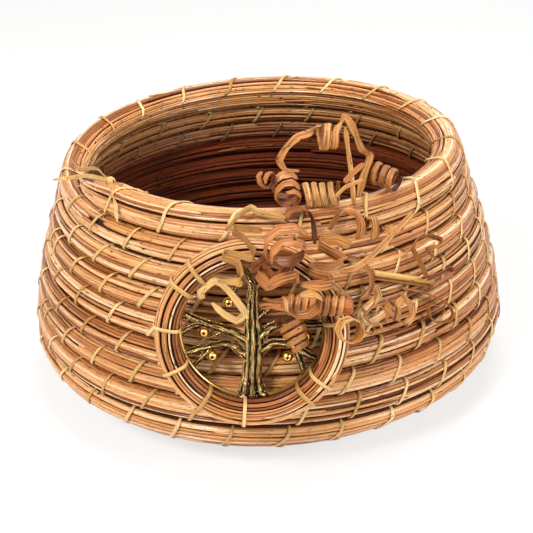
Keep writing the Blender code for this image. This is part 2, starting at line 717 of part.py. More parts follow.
# Wound curls. Each row holds a place, an axis (u, v, n), a radius at the start and at the end, a width, turns, the
# pitch over the width, and a first angle in turns. Places and sizes are shares of the hoop's radius. An IN curl
# has its place (u, v) in the hoop's frame and is laid against the wall or the hoop. A DOWN curl has its place
# as u and a way out from the middle of the rim, and is laid on the rim or on other curls.

IN = "in"
DOWN = "down"
WOUND_CURL_SHARES = {
    "curl_brown_back": (DOWN, (0.41, 0.02), (0.15, -0.50, 0.85), (0.14, 0.12), 0.10, 2.3, 1.25, 0.55),
    "curl_ladder": (DOWN, (0.78, 0.05), (1.00, 0.05, 0.10), (0.13, 0.13), 0.06, 4.2, 1.45, 0.50),
    "curl_small_left": (DOWN, (0.22, 0.05), (0.60, 0.10, 0.75), (0.09, 0.08), 0.075, 1.3, 1.3, 0.80),
    "curl_rim_right": (DOWN, (1.47, 0.06), (0.80, -0.30, 0.45), (0.13, 0.12), 0.065, 3.2, 1.5, 0.30),
    "curl_brown_wide": (IN, (0.37, 1.00), (0.10, -0.50, 0.85), (0.24, 0.15), 0.125, 1.6, 1.2, 0.55),
    "curl_arch": (IN, (0.52, 0.48), (0.30, -0.35, 0.85), (0.18, 0.17), 0.12, 0.9, 1.2, 0.95),
    "curl_before_tree": (IN, (0.44, 0.02), (0.35, -0.90, 0.25), (0.145, 0.10), 0.055, 4.3, 1.45, 0.00),
    "curl_ring_right": (IN, (0.97, 0.17), (0.20, 0.20, 0.95), (0.13, 0.12), 0.09, 2.2, 1.25, 0.35),
}

# Folded curls: a width, the way of that width (u, v, n), and stations (u, v, n) from one fold to the next, all in
# the hoop's frame as shares of its radius. A FLAT curl turns its face out of the basket all along.

FLAT = None
FOLDED_CURL_SHARES = {
    "curl_arches": (0.08, (0.8, 0.5, 0.3), (
        (0.84, 0.94, -0.45), (0.94, 1.07, -0.50), (1.04, 1.12, -0.48), (1.13, 1.11, -0.42), (1.17, 1.00, -0.38),
        (1.15, 0.85, -0.42), (1.21, 0.92, -0.52), (1.26, 1.02, -0.54), (1.30, 1.05, -0.48), (1.32, 0.95, -0.44),
        (1.31, 0.81, -0.48), (1.37, 0.84, -0.58), (1.42, 0.90, -0.60), (1.47, 0.91, -0.54), (1.48, 0.83, -0.48),
        (1.38, 0.74, -0.46), (1.20, 0.68, -0.42))),
    "curl_brown_arch": (0.085, (0.5, -0.3, 0.8), (
        (0.46, 1.02, -0.38), (0.39, 1.09, -0.36), (0.43, 1.16, -0.38), (0.53, 1.19, -0.42), (0.63, 1.15, -0.44),
        (0.67, 1.05, -0.42), (0.68, 0.94, -0.38), (0.68, 0.82, -0.34))),
    "curl_pale_rim": (0.08, (0.2, 0.9, 0.4), (
        (-0.23, 1.03, -0.36), (-0.05, 1.18, -0.48), (0.04, 1.22, -0.50), (0.11, 1.18, -0.46), (0.23, 1.15, -0.44),
        (0.39, 1.12, -0.42))),
    "curl_pale_upper": (0.075, (0.2, 1.0, 0.1), (
        (0.14, 1.02, -0.38), (-0.12, 1.09, -0.30), (-0.15, 1.06, -0.24), (-0.05, 1.03, -0.12), (0.06, 0.94, 0.12),
        (0.03, 0.90, 0.17), (-0.22, 0.96, 0.14), (-0.25, 0.92, 0.19), (-0.11, 0.86, 0.19), (-0.08, 0.73, 0.20),
        (-0.11, 0.69, 0.24), (-0.31, 0.69, 0.22))),
    "curl_pale_lower": (0.07, FLAT, (
        (-0.48, 0.41, 0.10), (-0.50, 0.49, 0.12), (-0.36, 0.61, 0.14), (-0.28, 0.58, 0.15), (-0.18, 0.46, 0.15),
        (-0.06, 0.25, 0.12), (-0.15, 0.18, 0.14), (-0.28, 0.27, 0.17), (-0.39, 0.39, 0.17))),
    "curl_brown_fan": (0.115, (0.1, 1.0, 0.1), (
        (0.01, 0.71, 0.14), (0.13, 0.80, 0.14), (0.27, 0.87, 0.16), (0.42, 0.85, 0.16), (0.45, 0.82, 0.22),
        (0.40, 0.77, 0.27), (0.26, 0.65, 0.26), (0.13, 0.76, 0.25), (0.09, 0.73, 0.30), (0.18, 0.62, 0.34),
        (0.32, 0.68, 0.34), (0.46, 0.71, 0.34), (0.48, 0.65, 0.40))),
    "curl_s_ribbon": (0.115, (0.1, 1.0, 0.1), (
        (1.04, 0.83, -0.25), (0.90, 0.89, -0.27), (0.75, 0.89, -0.26), (0.72, 0.86, -0.20), (0.82, 0.81, -0.13),
        (0.92, 0.76, -0.08), (0.95, 0.74, -0.02), (0.85, 0.70, 0.06), (0.64, 0.73, 0.13), (0.59, 0.71, 0.19),
        (0.67, 0.68, 0.24), (0.78, 0.65, 0.24), (0.81, 0.61, 0.29), (0.68, 0.60, 0.33), (0.50, 0.62, 0.33))),
    "curl_mid_right": (0.06, FLAT, (
        (1.02, 0.65, -0.25), (1.11, 0.62, -0.28), (1.19, 0.56, -0.32), (1.27, 0.43, -0.36), (1.28, 0.30, -0.36),
        (1.23, 0.21, -0.32), (1.15, 0.18, -0.26))),
    "curl_low_one": (0.08, FLAT, (
        (1.31, 0.29, -0.38), (1.34, 0.20, -0.36), (1.25, 0.12, -0.32), (1.14, 0.05, -0.26), (1.19, -0.06, -0.24),
        (1.34, -0.03, -0.32), (1.45, 0.04, -0.38))),
    "curl_low_two": (0.07, FLAT, (
        (1.42, 0.12, -0.46), (1.49, 0.02, -0.46), (1.55, -0.07, -0.50), (1.55, 0.05, -0.56), (1.62, 0.12, -0.60),
        (1.71, 0.03, -0.60), (1.71, -0.08, -0.58), (1.61, -0.13, -0.50))),
    "curl_small_right": (0.07, (0.3, 1.0, 0.3), (
        (1.92, 0.26, -0.84), (2.06, 0.28, -0.92), (2.18, 0.31, -1.00), (2.21, 0.28, -0.94), (2.06, 0.22, -0.86),
        (1.96, 0.19, -0.78))),
    "curl_hook_right": (0.07, (0.3, 0.7, 0.6), (
        (1.84, 0.28, -0.78), (1.90, 0.29, -0.80), (1.83, 0.45, -0.82), (1.76, 0.60, -0.84), (1.81, 0.70, -0.88),
        (1.94, 0.71, -0.94), (2.08, 0.64, -1.00), (2.05, 0.59, -0.94), (1.90, 0.60, -0.84), (1.99, 0.48, -0.84))),
    "curl_teardrop": (0.10, (0.15, 0.15, 1.00), (
        (1.62, 0.19, -0.70), (1.84, 0.12, -0.78), (2.04, 0.01, -0.86), (2.16, -0.09, -0.92), (2.21, -0.21, -0.96),
        (2.17, -0.28, -0.94), (2.02, -0.27, -0.86), (1.94, -0.18, -0.80), (1.92, -0.07, -0.80), (1.99, -0.06, -0.84),
        (2.10, -0.14, -0.90), (2.08, -0.21, -0.90))),
}
CURL_DARK = ("curl_brown_wide", "curl_brown_fan", "curl_brown_back", "curl_brown_arch", "curl_small_left",
             "curl_small_right", "curl_before_tree")
CURL_PALE = ("curl_pale_rim", "curl_pale_upper", "curl_pale_lower")


def wound_sections(middle, row):
    """The sections of a ribbon wound round an axis, its width along the axis."""
    _, _, axis_shares, radius_shares, width_share, turns, pitch_ratio, first_turn = row
    axis = (HOOP_RIGHT * axis_shares[0] + HOOP_UP * axis_shares[1] + HOOP_OUT * axis_shares[2]).normalized()
    across = axis.cross(HOOP_UP if abs(axis.dot(HOOP_UP)) < abs(axis.dot(HOOP_OUT)) else HOOP_OUT).normalized()
    third = axis.cross(across)
    width = width_share * HOOP_RADIUS
    pitch = width * pitch_ratio
    count = round(turns * CURL_POINTS_PER_TURN)
    points = []
    for number in range(count + 1):
        share = number / count
        radius = (radius_shares[0] + (radius_shares[1] - radius_shares[0]) * share) * HOOP_RADIUS
        turn = 2 * math.pi * (first_turn + number / CURL_POINTS_PER_TURN)
        rise = axis * (pitch * turns * (share - 0.5))
        points.append(middle + across * (radius * math.cos(turn)) + third * (radius * math.sin(turn)) + rise)
    return ribbon_sections(points, [axis] * len(points), width, CURL_THICKNESS)


def folded_sections(centre, row):
    """The sections of a ribbon folded from station to station."""
    width_share, side, stations = row
    points = [in_spray(centre, *station) for station in stations]
    if side is FLAT:
        sides = [tangent.cross(HOOP_OUT) for tangent in path_tangents(points)]
    else:
        sides = [HOOP_RIGHT * side[0] + HOOP_UP * side[1] + HOOP_OUT * side[2]] * len(points)
    return ribbon_sections(points, sides, width_share * HOOP_RADIUS, CURL_THICKNESS)


def curl_finish(name):
    """The finish of a curl, by its name."""
    if name in CURL_DARK:
        return "dark_tendril"
    return "pale_tendril" if name in CURL_PALE else "tendril"


def build_curls(materials, placed, centre):
    """The short curls, each laid on what is already there."""
    curls = []
    for name, row in FOLDED_CURL_SHARES.items():
        curls.append((name, folded_sections(centre, row), -HOOP_OUT, SHORT_REACH))
    for name, row in WOUND_CURL_SHARES.items():
        way, (u, v) = row[0], row[1]
        middle = in_spray(centre, u, v, 0.0) if way == IN else above_rim(centre, u, 1.0, v)
        curls.append((name, wound_sections(middle, row), -HOOP_OUT if way == IN else -UP, LAY_REACH))
    gaps = []
    for name, sections, direction, reach in curls:
        gaps.append(least_gap(sections, CURL_POINTS_PER_TURN))
        ((vertices, faces),), _ = lay(placed, [tube_mesh(sections)], direction, reach)
        add_object(name, vertices, faces, materials[curl_finish(name)])
        placed.add(vertices, faces)
    print("least gap of a curl to itself:", round(min(gaps) * 1000, 3), "mm")


# Long tendrils as routes, their numbers shares of the hoop's radius. Those on the rim have u, a rise over the
# middle of the rim and a way out from it; the one on the wall has its places in the hoop's frame.

TALL_ROUTE_SHARES = ((1.18, 0.18, 0.0), (1.23, 0.40, 0.0), (1.31, 0.62, -0.02), (1.21, 0.74, 0.02),
                     (1.14, 0.93, 0.03), (1.08, 1.07, 0.02), (1.02, 1.12, 0.0))
TALL_COIL_PLACE_SHARES = (0.95, 0.945)
TALL_COIL_RADIUS_SHARE = 0.135
TALL_COIL_PITCH_SHARE = 0.098
TALL_COIL_TURNS = 2
TALL_HOOK_SHARES = ((0.66, 1.02, 0.02), (0.55, 1.00, 0.03), (0.43, 0.90, 0.03), (0.35, 0.76, 0.03),
                    (0.41, 0.65, 0.04), (0.55, 0.63, 0.05))
THIN_ROUTE_SHARES = ((1.12, 0.18, 0.14), (1.10, 0.45, 0.13), (1.07, 0.72, 0.11), (1.04, 0.96, 0.10))
LONG_ROUTE_SHARES = ((1.71, 1.09, -0.75), (1.55, 0.95, -0.66), (1.39, 0.83, -0.56), (1.23, 0.72, -0.44),
                     (1.08, 0.65, -0.34), (0.91, 0.64, -0.24))
TALL_WIDTH = 0.0030
THIN_WIDTH = 0.0020


def build_tendrils(materials, placed, centre):
    """The tall tendril that loops over the opening, the thin one beside it, and the long one over the wall."""
    rise = [above_rim(centre, *place) for place in TALL_ROUTE_SHARES]
    coil_u, coil_rise = TALL_COIL_PLACE_SHARES
    coil = []
    for number in range(1, TALL_COIL_TURNS * CURL_POINTS_PER_TURN):
        turn = 2 * math.pi * (0.25 - number / CURL_POINTS_PER_TURN)
        u = coil_u - TALL_COIL_PITCH_SHARE * number / CURL_POINTS_PER_TURN
        coil.append(above_rim(centre, u, coil_rise + TALL_COIL_RADIUS_SHARE * math.sin(turn),
                              TALL_COIL_RADIUS_SHARE * math.cos(turn)))
    hook = [above_rim(centre, *place) for place in TALL_HOOK_SHARES]
    tall = rise + coil + hook
    across = [tangent.cross(HOOP_OUT) for tangent in path_tangents(tall)]
    across[len(rise):-len(hook)] = [HOOP_RIGHT] * len(coil)
    thin = [above_rim(centre, *place) for place in THIN_ROUTE_SHARES]
    long_route = [in_spray(centre, *place) for place in LONG_ROUTE_SHARES]
    routes = (
        ("tendril_long", long_route, [HOOP_UP] * len(long_route), TALL_WIDTH, -HOOP_OUT, MIDDLE_REACH),
        ("tendril_tall", tall, across, TALL_WIDTH, -UP, LAY_REACH),
        ("tendril_thin", thin, [HOOP_RIGHT] * len(thin), THIN_WIDTH, -UP, LAY_REACH))
    for name, points, sides, width, direction, reach in routes:
        sections = ribbon_sections(points, sides, width, CURL_THICKNESS)
        gap = least_gap(sections, CURL_POINTS_PER_TURN)
        if math.isfinite(gap):
            print("least gap of", name, "to itself:", round(gap * 1000, 3), "mm")
        ((vertices, faces),), _ = lay(placed, [tube_mesh(sections)], direction, reach)
        add_object(name, vertices, faces, materials["tendril"])
        placed.add(vertices, faces)


# The tails of the knot on the rim: degrees along the rim, degrees round its coil, and a lift off it as a share
# of the rim's thickness

TAIL_ROUTE_SHARES = (
    ((0, 66, 0.130), (-6, 80, 0.160), (-13, 88, 0.200), (-27, 86, 0.300), (-35, 70, 0.160)),
    ((0, 66, 0.130), (-8, 48, 0.200), (-14, 16, 0.300), (-16, 0, 0.700)),
    ((0, 66, 0.130), (4, 36, 0.145), (8, 6, 0.160), (9, -16, 0.190), (10, -34, 0.300)),
)


def beside_rim(turn, lean, lift_share):
    """A place beside the rim's coil: an angle about the basket, one about the coil, and a lift off it."""
    back = (turn - RIM_END_ANGLE) / (2 * math.pi) % 1.0
    middle_radius, middle_height, slope, _, _ = coil_state(back)
    radial = Vector((math.cos(turn), math.sin(turn), 0.0))
    up_wall = radial * math.cos(slope) + UP * math.sin(slope)
    outward = radial * math.sin(slope) - UP * math.cos(slope)
    reach = RIM_THICKNESS * (0.5 + lift_share)
    middle = radial * middle_radius + UP * middle_height
    return middle + (outward * math.cos(lean) + up_wall * math.sin(lean)) * reach


def build_knot(materials, placed):
    """The knot and its three tails, one piece of raffia lying on the rim."""
    middle = beside_rim(KNOT_ANGLE, KNOT_LEAN, KNOT_LIFT_SHARE)
    radius = KNOT_DIAMETER / 2
    rings = []
    for level in KNOT_LEVEL_SHARES:
        size = radius * math.sqrt(1 - level * level)
        rings.append([middle + Vector((size * math.cos(turn), size * math.sin(turn), radius * level))
                      for turn in (2 * math.pi * side / BRANCH_SIDES for side in range(BRANCH_SIDES))])
    bodies = [tube_mesh(rings)]
    for route in TAIL_ROUTE_SHARES:
        points = [beside_rim(KNOT_ANGLE + math.radians(turn), math.radians(lean), lift) for turn, lean, lift in route]
        radial = Vector((math.cos(KNOT_ANGLE), math.sin(KNOT_ANGLE), 0.0))
        sides = [radial.cross(UP) + UP] * len(points)
        bodies.append(tube_mesh(ribbon_sections(points, sides, TAIL_WIDTH, TAIL_THICKNESS)))
    body = unite("raffia_knot", bodies, materials["raffia"])
    inward = beside_rim(KNOT_ANGLE, KNOT_LEAN, 0.0) - beside_rim(KNOT_ANGLE, KNOT_LEAN, 1.0)
    ((vertices, faces),), _ = lay(placed, [body], inward)
    add_object("raffia_knot", vertices, faces, materials["raffia"])


def main():
    for item in list(bpy.data.objects):
        bpy.data.objects.remove(item)
    materials = {
        "stems": make_material("varnished_stems", (0.50, 0.24, 0.105), 0.38),
        "raffia": make_material("raffia", (0.68, 0.46, 0.20), 0.50),
        "brass": make_material("blackened_brass", (0.30, 0.20, 0.08), 0.38, 1.0),
        "bright_brass": make_material("bright_brass", (0.78, 0.52, 0.20), 0.22, 1.0),
        "tendril": make_material("tan_tendril", (0.56, 0.28, 0.12), 0.35),
        "dark_tendril": make_material("brown_tendril", (0.42, 0.16, 0.07), 0.32),
        "pale_tendril": make_material("pale_tendril", (0.66, 0.44, 0.17), 0.38)}
    placed = Placed()
    build_coils(materials, placed)
    build_stitches(materials, placed)
    centre = build_hoop(materials, placed)
    build_stem(materials, placed, centre)
    build_curls(materials, placed, centre)
    build_tendrils(materials, placed, centre)
    build_knot(materials, placed)


main()
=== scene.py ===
"""Looks of the coiled basket: varnished stems, raffia stitches, a cast tree in a stem hoop, and curled tendrils.

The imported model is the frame. The coil's route, the hoop, the tree's limbs and the curls repeat the part's own
sizes, in metres, and each loose piece is set where its CAD node lies.
"""

import math
import random

import bmesh
import bpy
import numpy as np
from mathutils import Matrix, Vector, noise


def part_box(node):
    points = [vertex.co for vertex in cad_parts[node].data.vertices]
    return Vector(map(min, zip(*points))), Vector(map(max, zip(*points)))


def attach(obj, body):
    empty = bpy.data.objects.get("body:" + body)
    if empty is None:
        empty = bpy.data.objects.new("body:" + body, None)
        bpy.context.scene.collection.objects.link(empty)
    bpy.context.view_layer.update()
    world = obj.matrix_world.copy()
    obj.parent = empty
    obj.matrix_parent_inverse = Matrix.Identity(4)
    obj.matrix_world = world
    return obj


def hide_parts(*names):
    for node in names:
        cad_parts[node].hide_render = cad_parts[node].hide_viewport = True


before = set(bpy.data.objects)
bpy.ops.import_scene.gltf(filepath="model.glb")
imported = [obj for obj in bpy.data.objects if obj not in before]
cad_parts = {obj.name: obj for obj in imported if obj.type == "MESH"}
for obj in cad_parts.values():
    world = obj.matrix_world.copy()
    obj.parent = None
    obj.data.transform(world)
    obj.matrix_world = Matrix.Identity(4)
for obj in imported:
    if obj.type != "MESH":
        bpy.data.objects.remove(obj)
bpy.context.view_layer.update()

# Bowl and coil, as in the part
BELLY_RADIUS = 0.1150
BELLY_HEIGHT = 0.0260
BASE_FLAT_RADIUS = 0.0600
RIM_RADIUS = 0.0860
RIM_HEIGHT = 0.1092
WALL_CURVE_SHARE = 1.5
OUTLINE_STEPS = 199
ROW_PITCH = 0.0112
ROW_GAP = 0.0006
COIL_DEPTH = 0.0110
RIM_THICKNESS = 0.0138
RIM_START_SWELL_TURNS_SHARE = 0.12
RIM_END_SWELL_TURNS_SHARE = 0.06
TAPER_SHARE = 0.45
RIM_END_ANGLE = math.radians(200)
WALL_LAST_TURN = 9.5
BASE_LAST_TURN = 17.55

# Stems in a bundle
STEM_RADIUS = 0.00088
RIM_STEM_RADIUS = 0.00071
STEM_STEP = 0.0042
STEM_LENGTH = 0.2300
STEM_OVERLAP_STATIONS = 3
WALL_STEMS = 21
BASE_STEMS = 17
RIM_STEMS = 37
SQUARENESS = 0.62
# The heart's reach towards the next row, which it meets in the seam
HEART_SEAM_SHARE = 1.09
SEAM_DEPTH_SHARE = 0.30

# A layer of finer stems under the outer one, seen where two outer stems part
UNDER_LAYER_SHARE = 0.86
UNDER_STEMS = 12
UNDER_STEM_RADIUS = 0.00120

# Heights between which the painted shade inside the bowl grows, from none at its pale rim to full at its dark brown
# depth
PAINTED_SHADE_START_HEIGHT = 0.1010
PAINTED_SHADE_FULL_HEIGHT = 0.0730
HOOP_STEM_RADIUS = 0.00047
HOOP_OVERLAP_TURNS = 0.10
HOOP_STEM_STEP = 0.0022
HOOP_STEMS = 27
BACK_HOOP_STEMS = 18
START_TURNS = 2.2
START_STEMS = 11

# Raffia stitches
STITCH_WIDTH = 0.0018
STITCH_SLANT = 0.0068
RIM_STITCH_SLANT = 0.0170
RIM_STITCH_HALF_TURN = 2.6
STITCH_LIFT = 0.0003
WALL_STITCH_SPACING = 0.0225
RIM_STITCH_SPACING = 0.0265
INSIDE_STITCH_SPACING = 0.0300
# Turns back from the rim's end to its first stitch, which lies by the knot
FIRST_RIM_STITCH_BACK = 0.068

# Hoop, tree and beads
HOOP_RADIUS = 0.0390
HOOP_LEAN = math.radians(11)
HOOP_COIL_WIDTH = 0.0100
HOOP_BACK_COIL_WIDTH = 0.0066
HOOP_WRAP_SEGMENTS = (8, 9, 11, 13, 15, 17, 20, 21, 0)
HOOP_SEGMENTS = 24
HOOP_WRAP_WIDTH = 0.0017
TREE_RING_RADIUS = 0.0294
TREE_RING_THICKNESS = 0.0020
TREE_FOOT_RADIUS = 0.0042
BEAD_DIAMETER = 0.0046
BEAD_BORE = 0.0014

# Tendrils
CURL_THICKNESS = 0.0006
CURL_POINTS_PER_TURN = 8
MITRE_LIMIT = 1.4
# Painted shade: how much lower on its ramp of tones the inner side of a tendril lies
INNER_SIDE_PAINTED_SHADE = 0.24

UP = Vector((0.0, 0.0, 1.0))
HOOP_RIGHT = Vector((1.0, 0.0, 0.0))
HOOP_UP = Vector((0.0, math.sin(HOOP_LEAN), math.cos(HOOP_LEAN)))
HOOP_OUT = Vector((0.0, -math.cos(HOOP_LEAN), math.sin(HOOP_LEAN)))
SCENE = bpy.context.scene


# Colours and nodes

def linear(code):
    """A sRGB hex colour as linear red, green, blue and alpha."""
    values = [int(code[start:start + 2], 16) / 255 for start in (1, 3, 5)]
    turned = [value / 12.92 if value <= 0.04045 else ((value + 0.055) / 1.055) ** 2.4 for value in values]
    return (*turned, 1.0)


def add_node(tree, kind, inputs=None, **settings):
    """Adds a node with its settings; inputs holds a value or a socket for each input's name or number."""
    node = tree.nodes.new(kind)
    for key, value in settings.items():
        setattr(node, key, value)
    for key, value in (inputs or {}).items():
        if isinstance(value, bpy.types.NodeSocket):
            tree.links.new(value, node.inputs[key])
        else:
            node.inputs[key].default_value = value
    return node


def set_ramp(node, stops):
    """Gives a Color Ramp its stops, each a place and a hex colour."""
    elements = node.color_ramp.elements
    while len(elements) > 1:
        elements.remove(elements[-1])
    elements[0].position, elements[0].color = stops[0][0], linear(stops[0][1])
    for place, code in stops[1:]:
        elements.new(place).color = linear(code)


def new_material(name):
    """A material with an empty Principled shader; returns the material, its tree and the shader."""
    material = bpy.data.materials.new(name)
    material.use_nodes = True
    tree = material.node_tree
    return material, tree, tree.nodes["Principled BSDF"]


# Materials. Grain is an attribute: metres along the fibre, a share of the way round or across it, and a number
# that differs from stem to stem.

def fibre_material(name, tones, roughness, coat, streak_depth, fleck, inside=None, split=0.5, groove=0.0):
    """Dried plant fibre: tones run from the darkest to the palest, streaks and splits lengthwise, flecks dark; inside
    is the tint of the painted shade on the side turned into the bowl.
    """
    material, tree, shader = new_material(name)
    grain = add_node(tree, "ShaderNodeAttribute", attribute_name="grain")
    parts = add_node(tree, "ShaderNodeSeparateXYZ", {0: grain.outputs["Vector"]})
    # Streaks about 12 mm long and a quarter of a stem's width wide
    streak_place = add_node(tree, "ShaderNodeVectorMath", {0: grain.outputs["Vector"], 1: (70.0, 9.0, 61.0)},
                            operation="MULTIPLY")
    streaks = add_node(tree, "ShaderNodeTexNoise", {"Vector": streak_place.outputs[0], "Scale": 1.0, "Detail": 4.0,
                                                    "Roughness": 0.62})
    # Slow changes of tone, about 60 mm long
    slow_place = add_node(tree, "ShaderNodeVectorMath", {0: grain.outputs["Vector"], 1: (17.0, 0.7, 37.0)},
                          operation="MULTIPLY")
    slow = add_node(tree, "ShaderNodeTexNoise", {"Vector": slow_place.outputs[0], "Scale": 1.0, "Detail": 2.0})
    tone = add_node(tree, "ShaderNodeMath", {0: slow.outputs["Fac"], 1: 0.75, 2: -0.375}, operation="MULTIPLY_ADD")
    tone = add_node(tree, "ShaderNodeMath", {0: streaks.outputs["Fac"], 1: streak_depth, 2: tone.outputs[0]},
                    operation="MULTIPLY_ADD")
    tone = add_node(tree, "ShaderNodeMath", {0: tone.outputs[0], 1: streak_depth / 2}, operation="SUBTRACT")
    tone = add_node(tree, "ShaderNodeMath", {0: parts.outputs["Z"], 1: tone.outputs[0]}, operation="ADD")
    ramp = add_node(tree, "ShaderNodeValToRGB", {0: tone.outputs[0]})
    set_ramp(ramp, [(number / (len(tones) - 1), code) for number, code in enumerate(tones)])
    # Flecks of bark and glue, about 2 mm long
    fleck_place = add_node(tree, "ShaderNodeVectorMath", {0: grain.outputs["Vector"], 1: (330.0, 3.0, 93.0)},
                           operation="MULTIPLY")
    flecks = add_node(tree, "ShaderNodeTexNoise", {"Vector": fleck_place.outputs[0], "Scale": 1.0, "Detail": 3.0})
    fleck_mask = add_node(tree, "ShaderNodeMapRange", {0: flecks.outputs["Fac"], 1: 0.62, 2: 0.70})
    # Fine dark splits that run along the fibre
    split_place = add_node(tree, "ShaderNodeVectorMath", {0: grain.outputs["Vector"], 1: (32.0, 9.0, 27.0)},
                           operation="MULTIPLY")
    splits = add_node(tree, "ShaderNodeTexNoise", {"Vector": split_place.outputs[0], "Scale": 1.0, "Detail": 2.0})
    from_middle = add_node(tree, "ShaderNodeMath", {0: splits.outputs["Fac"], 1: 0.5}, operation="SUBTRACT")
    from_middle = add_node(tree, "ShaderNodeMath", {0: from_middle.outputs[0]}, operation="ABSOLUTE")
    split_mask = add_node(tree, "ShaderNodeMapRange", {0: from_middle.outputs[0], 1: 0.005, 2: 0.022, 3: split, 4: 0.0})
    marks = add_node(tree, "ShaderNodeMath", {0: fleck_mask.outputs[0], 1: split_mask.outputs[0]}, operation="MAXIMUM")
    if groove:
        # Painted shade in the grooves between a tendril's strands
        relief = add_node(tree, "ShaderNodeAttribute", attribute_name="relief")
        groove_painted_shade = add_node(tree, "ShaderNodeMapRange", {0: relief.outputs["Fac"], 1: 0.45, 2: 0.95, 3: 0.0, 4: groove})
        marks = add_node(tree, "ShaderNodeMath", {0: marks.outputs[0], 1: groove_painted_shade.outputs[0]}, operation="MAXIMUM")
    colour = add_node(tree, "ShaderNodeMix", {0: marks.outputs[0], 6: ramp.outputs[0], 7: linear(fleck)},
                      data_type="RGBA")
    bump = add_node(tree, "ShaderNodeBump", {"Strength": 0.6, "Distance": 0.0004, "Height": streaks.outputs["Fac"]})
    if inside:
        # Painted shade: the side turned into the bowl is tinted darker with depth below the rim
        painted_bowl_shade = add_node(tree, "ShaderNodeAttribute", attribute_name="painted_bowl_shade")
        painted_shade_tint = add_node(tree, "ShaderNodeMix", {0: painted_bowl_shade.outputs["Fac"], 6: (1.0, 1.0, 1.0, 1.0), 7: linear(inside)},
                            data_type="RGBA")
        colour = add_node(tree, "ShaderNodeMix", {0: 1.0, 6: colour.outputs[2], 7: painted_shade_tint.outputs[2]},
                          data_type="RGBA", blend_type="MULTIPLY")
        # and the same painted-shade mask makes it rougher and takes away its coat
        rough = add_node(tree, "ShaderNodeMapRange", {0: painted_bowl_shade.outputs["Fac"], 3: roughness, 4: 0.75})
        tree.links.new(rough.outputs[0], shader.inputs["Roughness"])
        gloss = add_node(tree, "ShaderNodeMapRange", {0: painted_bowl_shade.outputs["Fac"], 3: coat, 4: 0.0})
        tree.links.new(gloss.outputs[0], shader.inputs["Coat Weight"])
    else:
        shader.inputs["Roughness"].default_value = roughness
        shader.inputs["Coat Weight"].default_value = coat
    tree.links.new(colour.outputs[2], shader.inputs["Base Color"])
    tree.links.new(bump.outputs[0], shader.inputs["Normal"])
    shader.inputs["Coat Roughness"].default_value = 0.12
    shader.inputs["Specular IOR Level"].default_value = 0.22
    return material


def brass_material(name, bright, black, roughness, bark):
    """Cast brass: black patina lies in the furrows of the bark, and the ridges are rubbed bright."""
    material, tree, shader = new_material(name)
    ridge = add_node(tree, "ShaderNodeAttribute", attribute_name="relief").outputs["Fac"]
    if bark:
        grain = add_node(tree, "ShaderNodeAttribute", attribute_name="grain")
        parts = add_node(tree, "ShaderNodeSeparateXYZ", {0: grain.outputs["Vector"]})
        # Bark ridges run along a limb, nine round a thick one, and waver every 5 mm
        place = add_node(tree, "ShaderNodeVectorMath", {0: grain.outputs["Vector"], 1: (210.0, 3.0, 31.0)},
                         operation="MULTIPLY")
        waver = add_node(tree, "ShaderNodeTexNoise", {"Vector": place.outputs[0], "Scale": 1.0, "Detail": 2.0})
        turn = add_node(tree, "ShaderNodeMath", {0: waver.outputs["Fac"], 1: 12.0, 2: parts.outputs["Y"]},
                        operation="MULTIPLY_ADD")
        wave = add_node(tree, "ShaderNodeMath", {0: turn.outputs[0]}, operation="SINE")
        wave = add_node(tree, "ShaderNodeMath", {0: wave.outputs[0], 1: 0.34, 2: ridge}, operation="MULTIPLY_ADD")
        # Ridges break off and start again every 2 mm
        break_place = add_node(tree, "ShaderNodeVectorMath", {0: grain.outputs["Vector"], 1: (520.0, 1.1, 57.0)},
                               operation="MULTIPLY")
        breaks = add_node(tree, "ShaderNodeTexNoise", {"Vector": break_place.outputs[0], "Scale": 1.0, "Detail": 2.0})
        broken = add_node(tree, "ShaderNodeMath", {0: breaks.outputs["Fac"], 1: 0.5}, operation="SUBTRACT")
        ridge = add_node(tree, "ShaderNodeMath", {0: broken.outputs[0], 1: 0.8, 2: wave.outputs[0]},
                         operation="MULTIPLY_ADD").outputs[0]
    ramp = add_node(tree, "ShaderNodeValToRGB", {0: ridge})
    if bark:
        set_ramp(ramp, [(0.0, black), (0.50, black), (0.54, "#c4862c"), (0.60, bright), (0.80, "#ffe2a4")])
    else:
        set_ramp(ramp, [(0.0, black), (0.42, black), (0.80, bright)])
    rough = add_node(tree, "ShaderNodeMapRange", {0: ridge, 1: 0.40, 2: 0.60, 3: 0.55, 4: roughness})
    metal = add_node(tree, "ShaderNodeMapRange", {0: ridge, 1: 0.44, 2: 0.56, 3: 0.1, 4: 1.0})
    bump = add_node(tree, "ShaderNodeBump", {"Strength": 0.8, "Distance": 0.0003, "Height": ridge})
    tree.links.new(ramp.outputs[0], shader.inputs["Base Color"])
    tree.links.new(rough.outputs[0], shader.inputs["Roughness"])
    tree.links.new(metal.outputs[0], shader.inputs["Metallic"])
    shader.inputs["Specular IOR Level"].default_value = 0.12
    if bark:
        tree.links.new(bump.outputs[0], shader.inputs["Normal"])
    return material


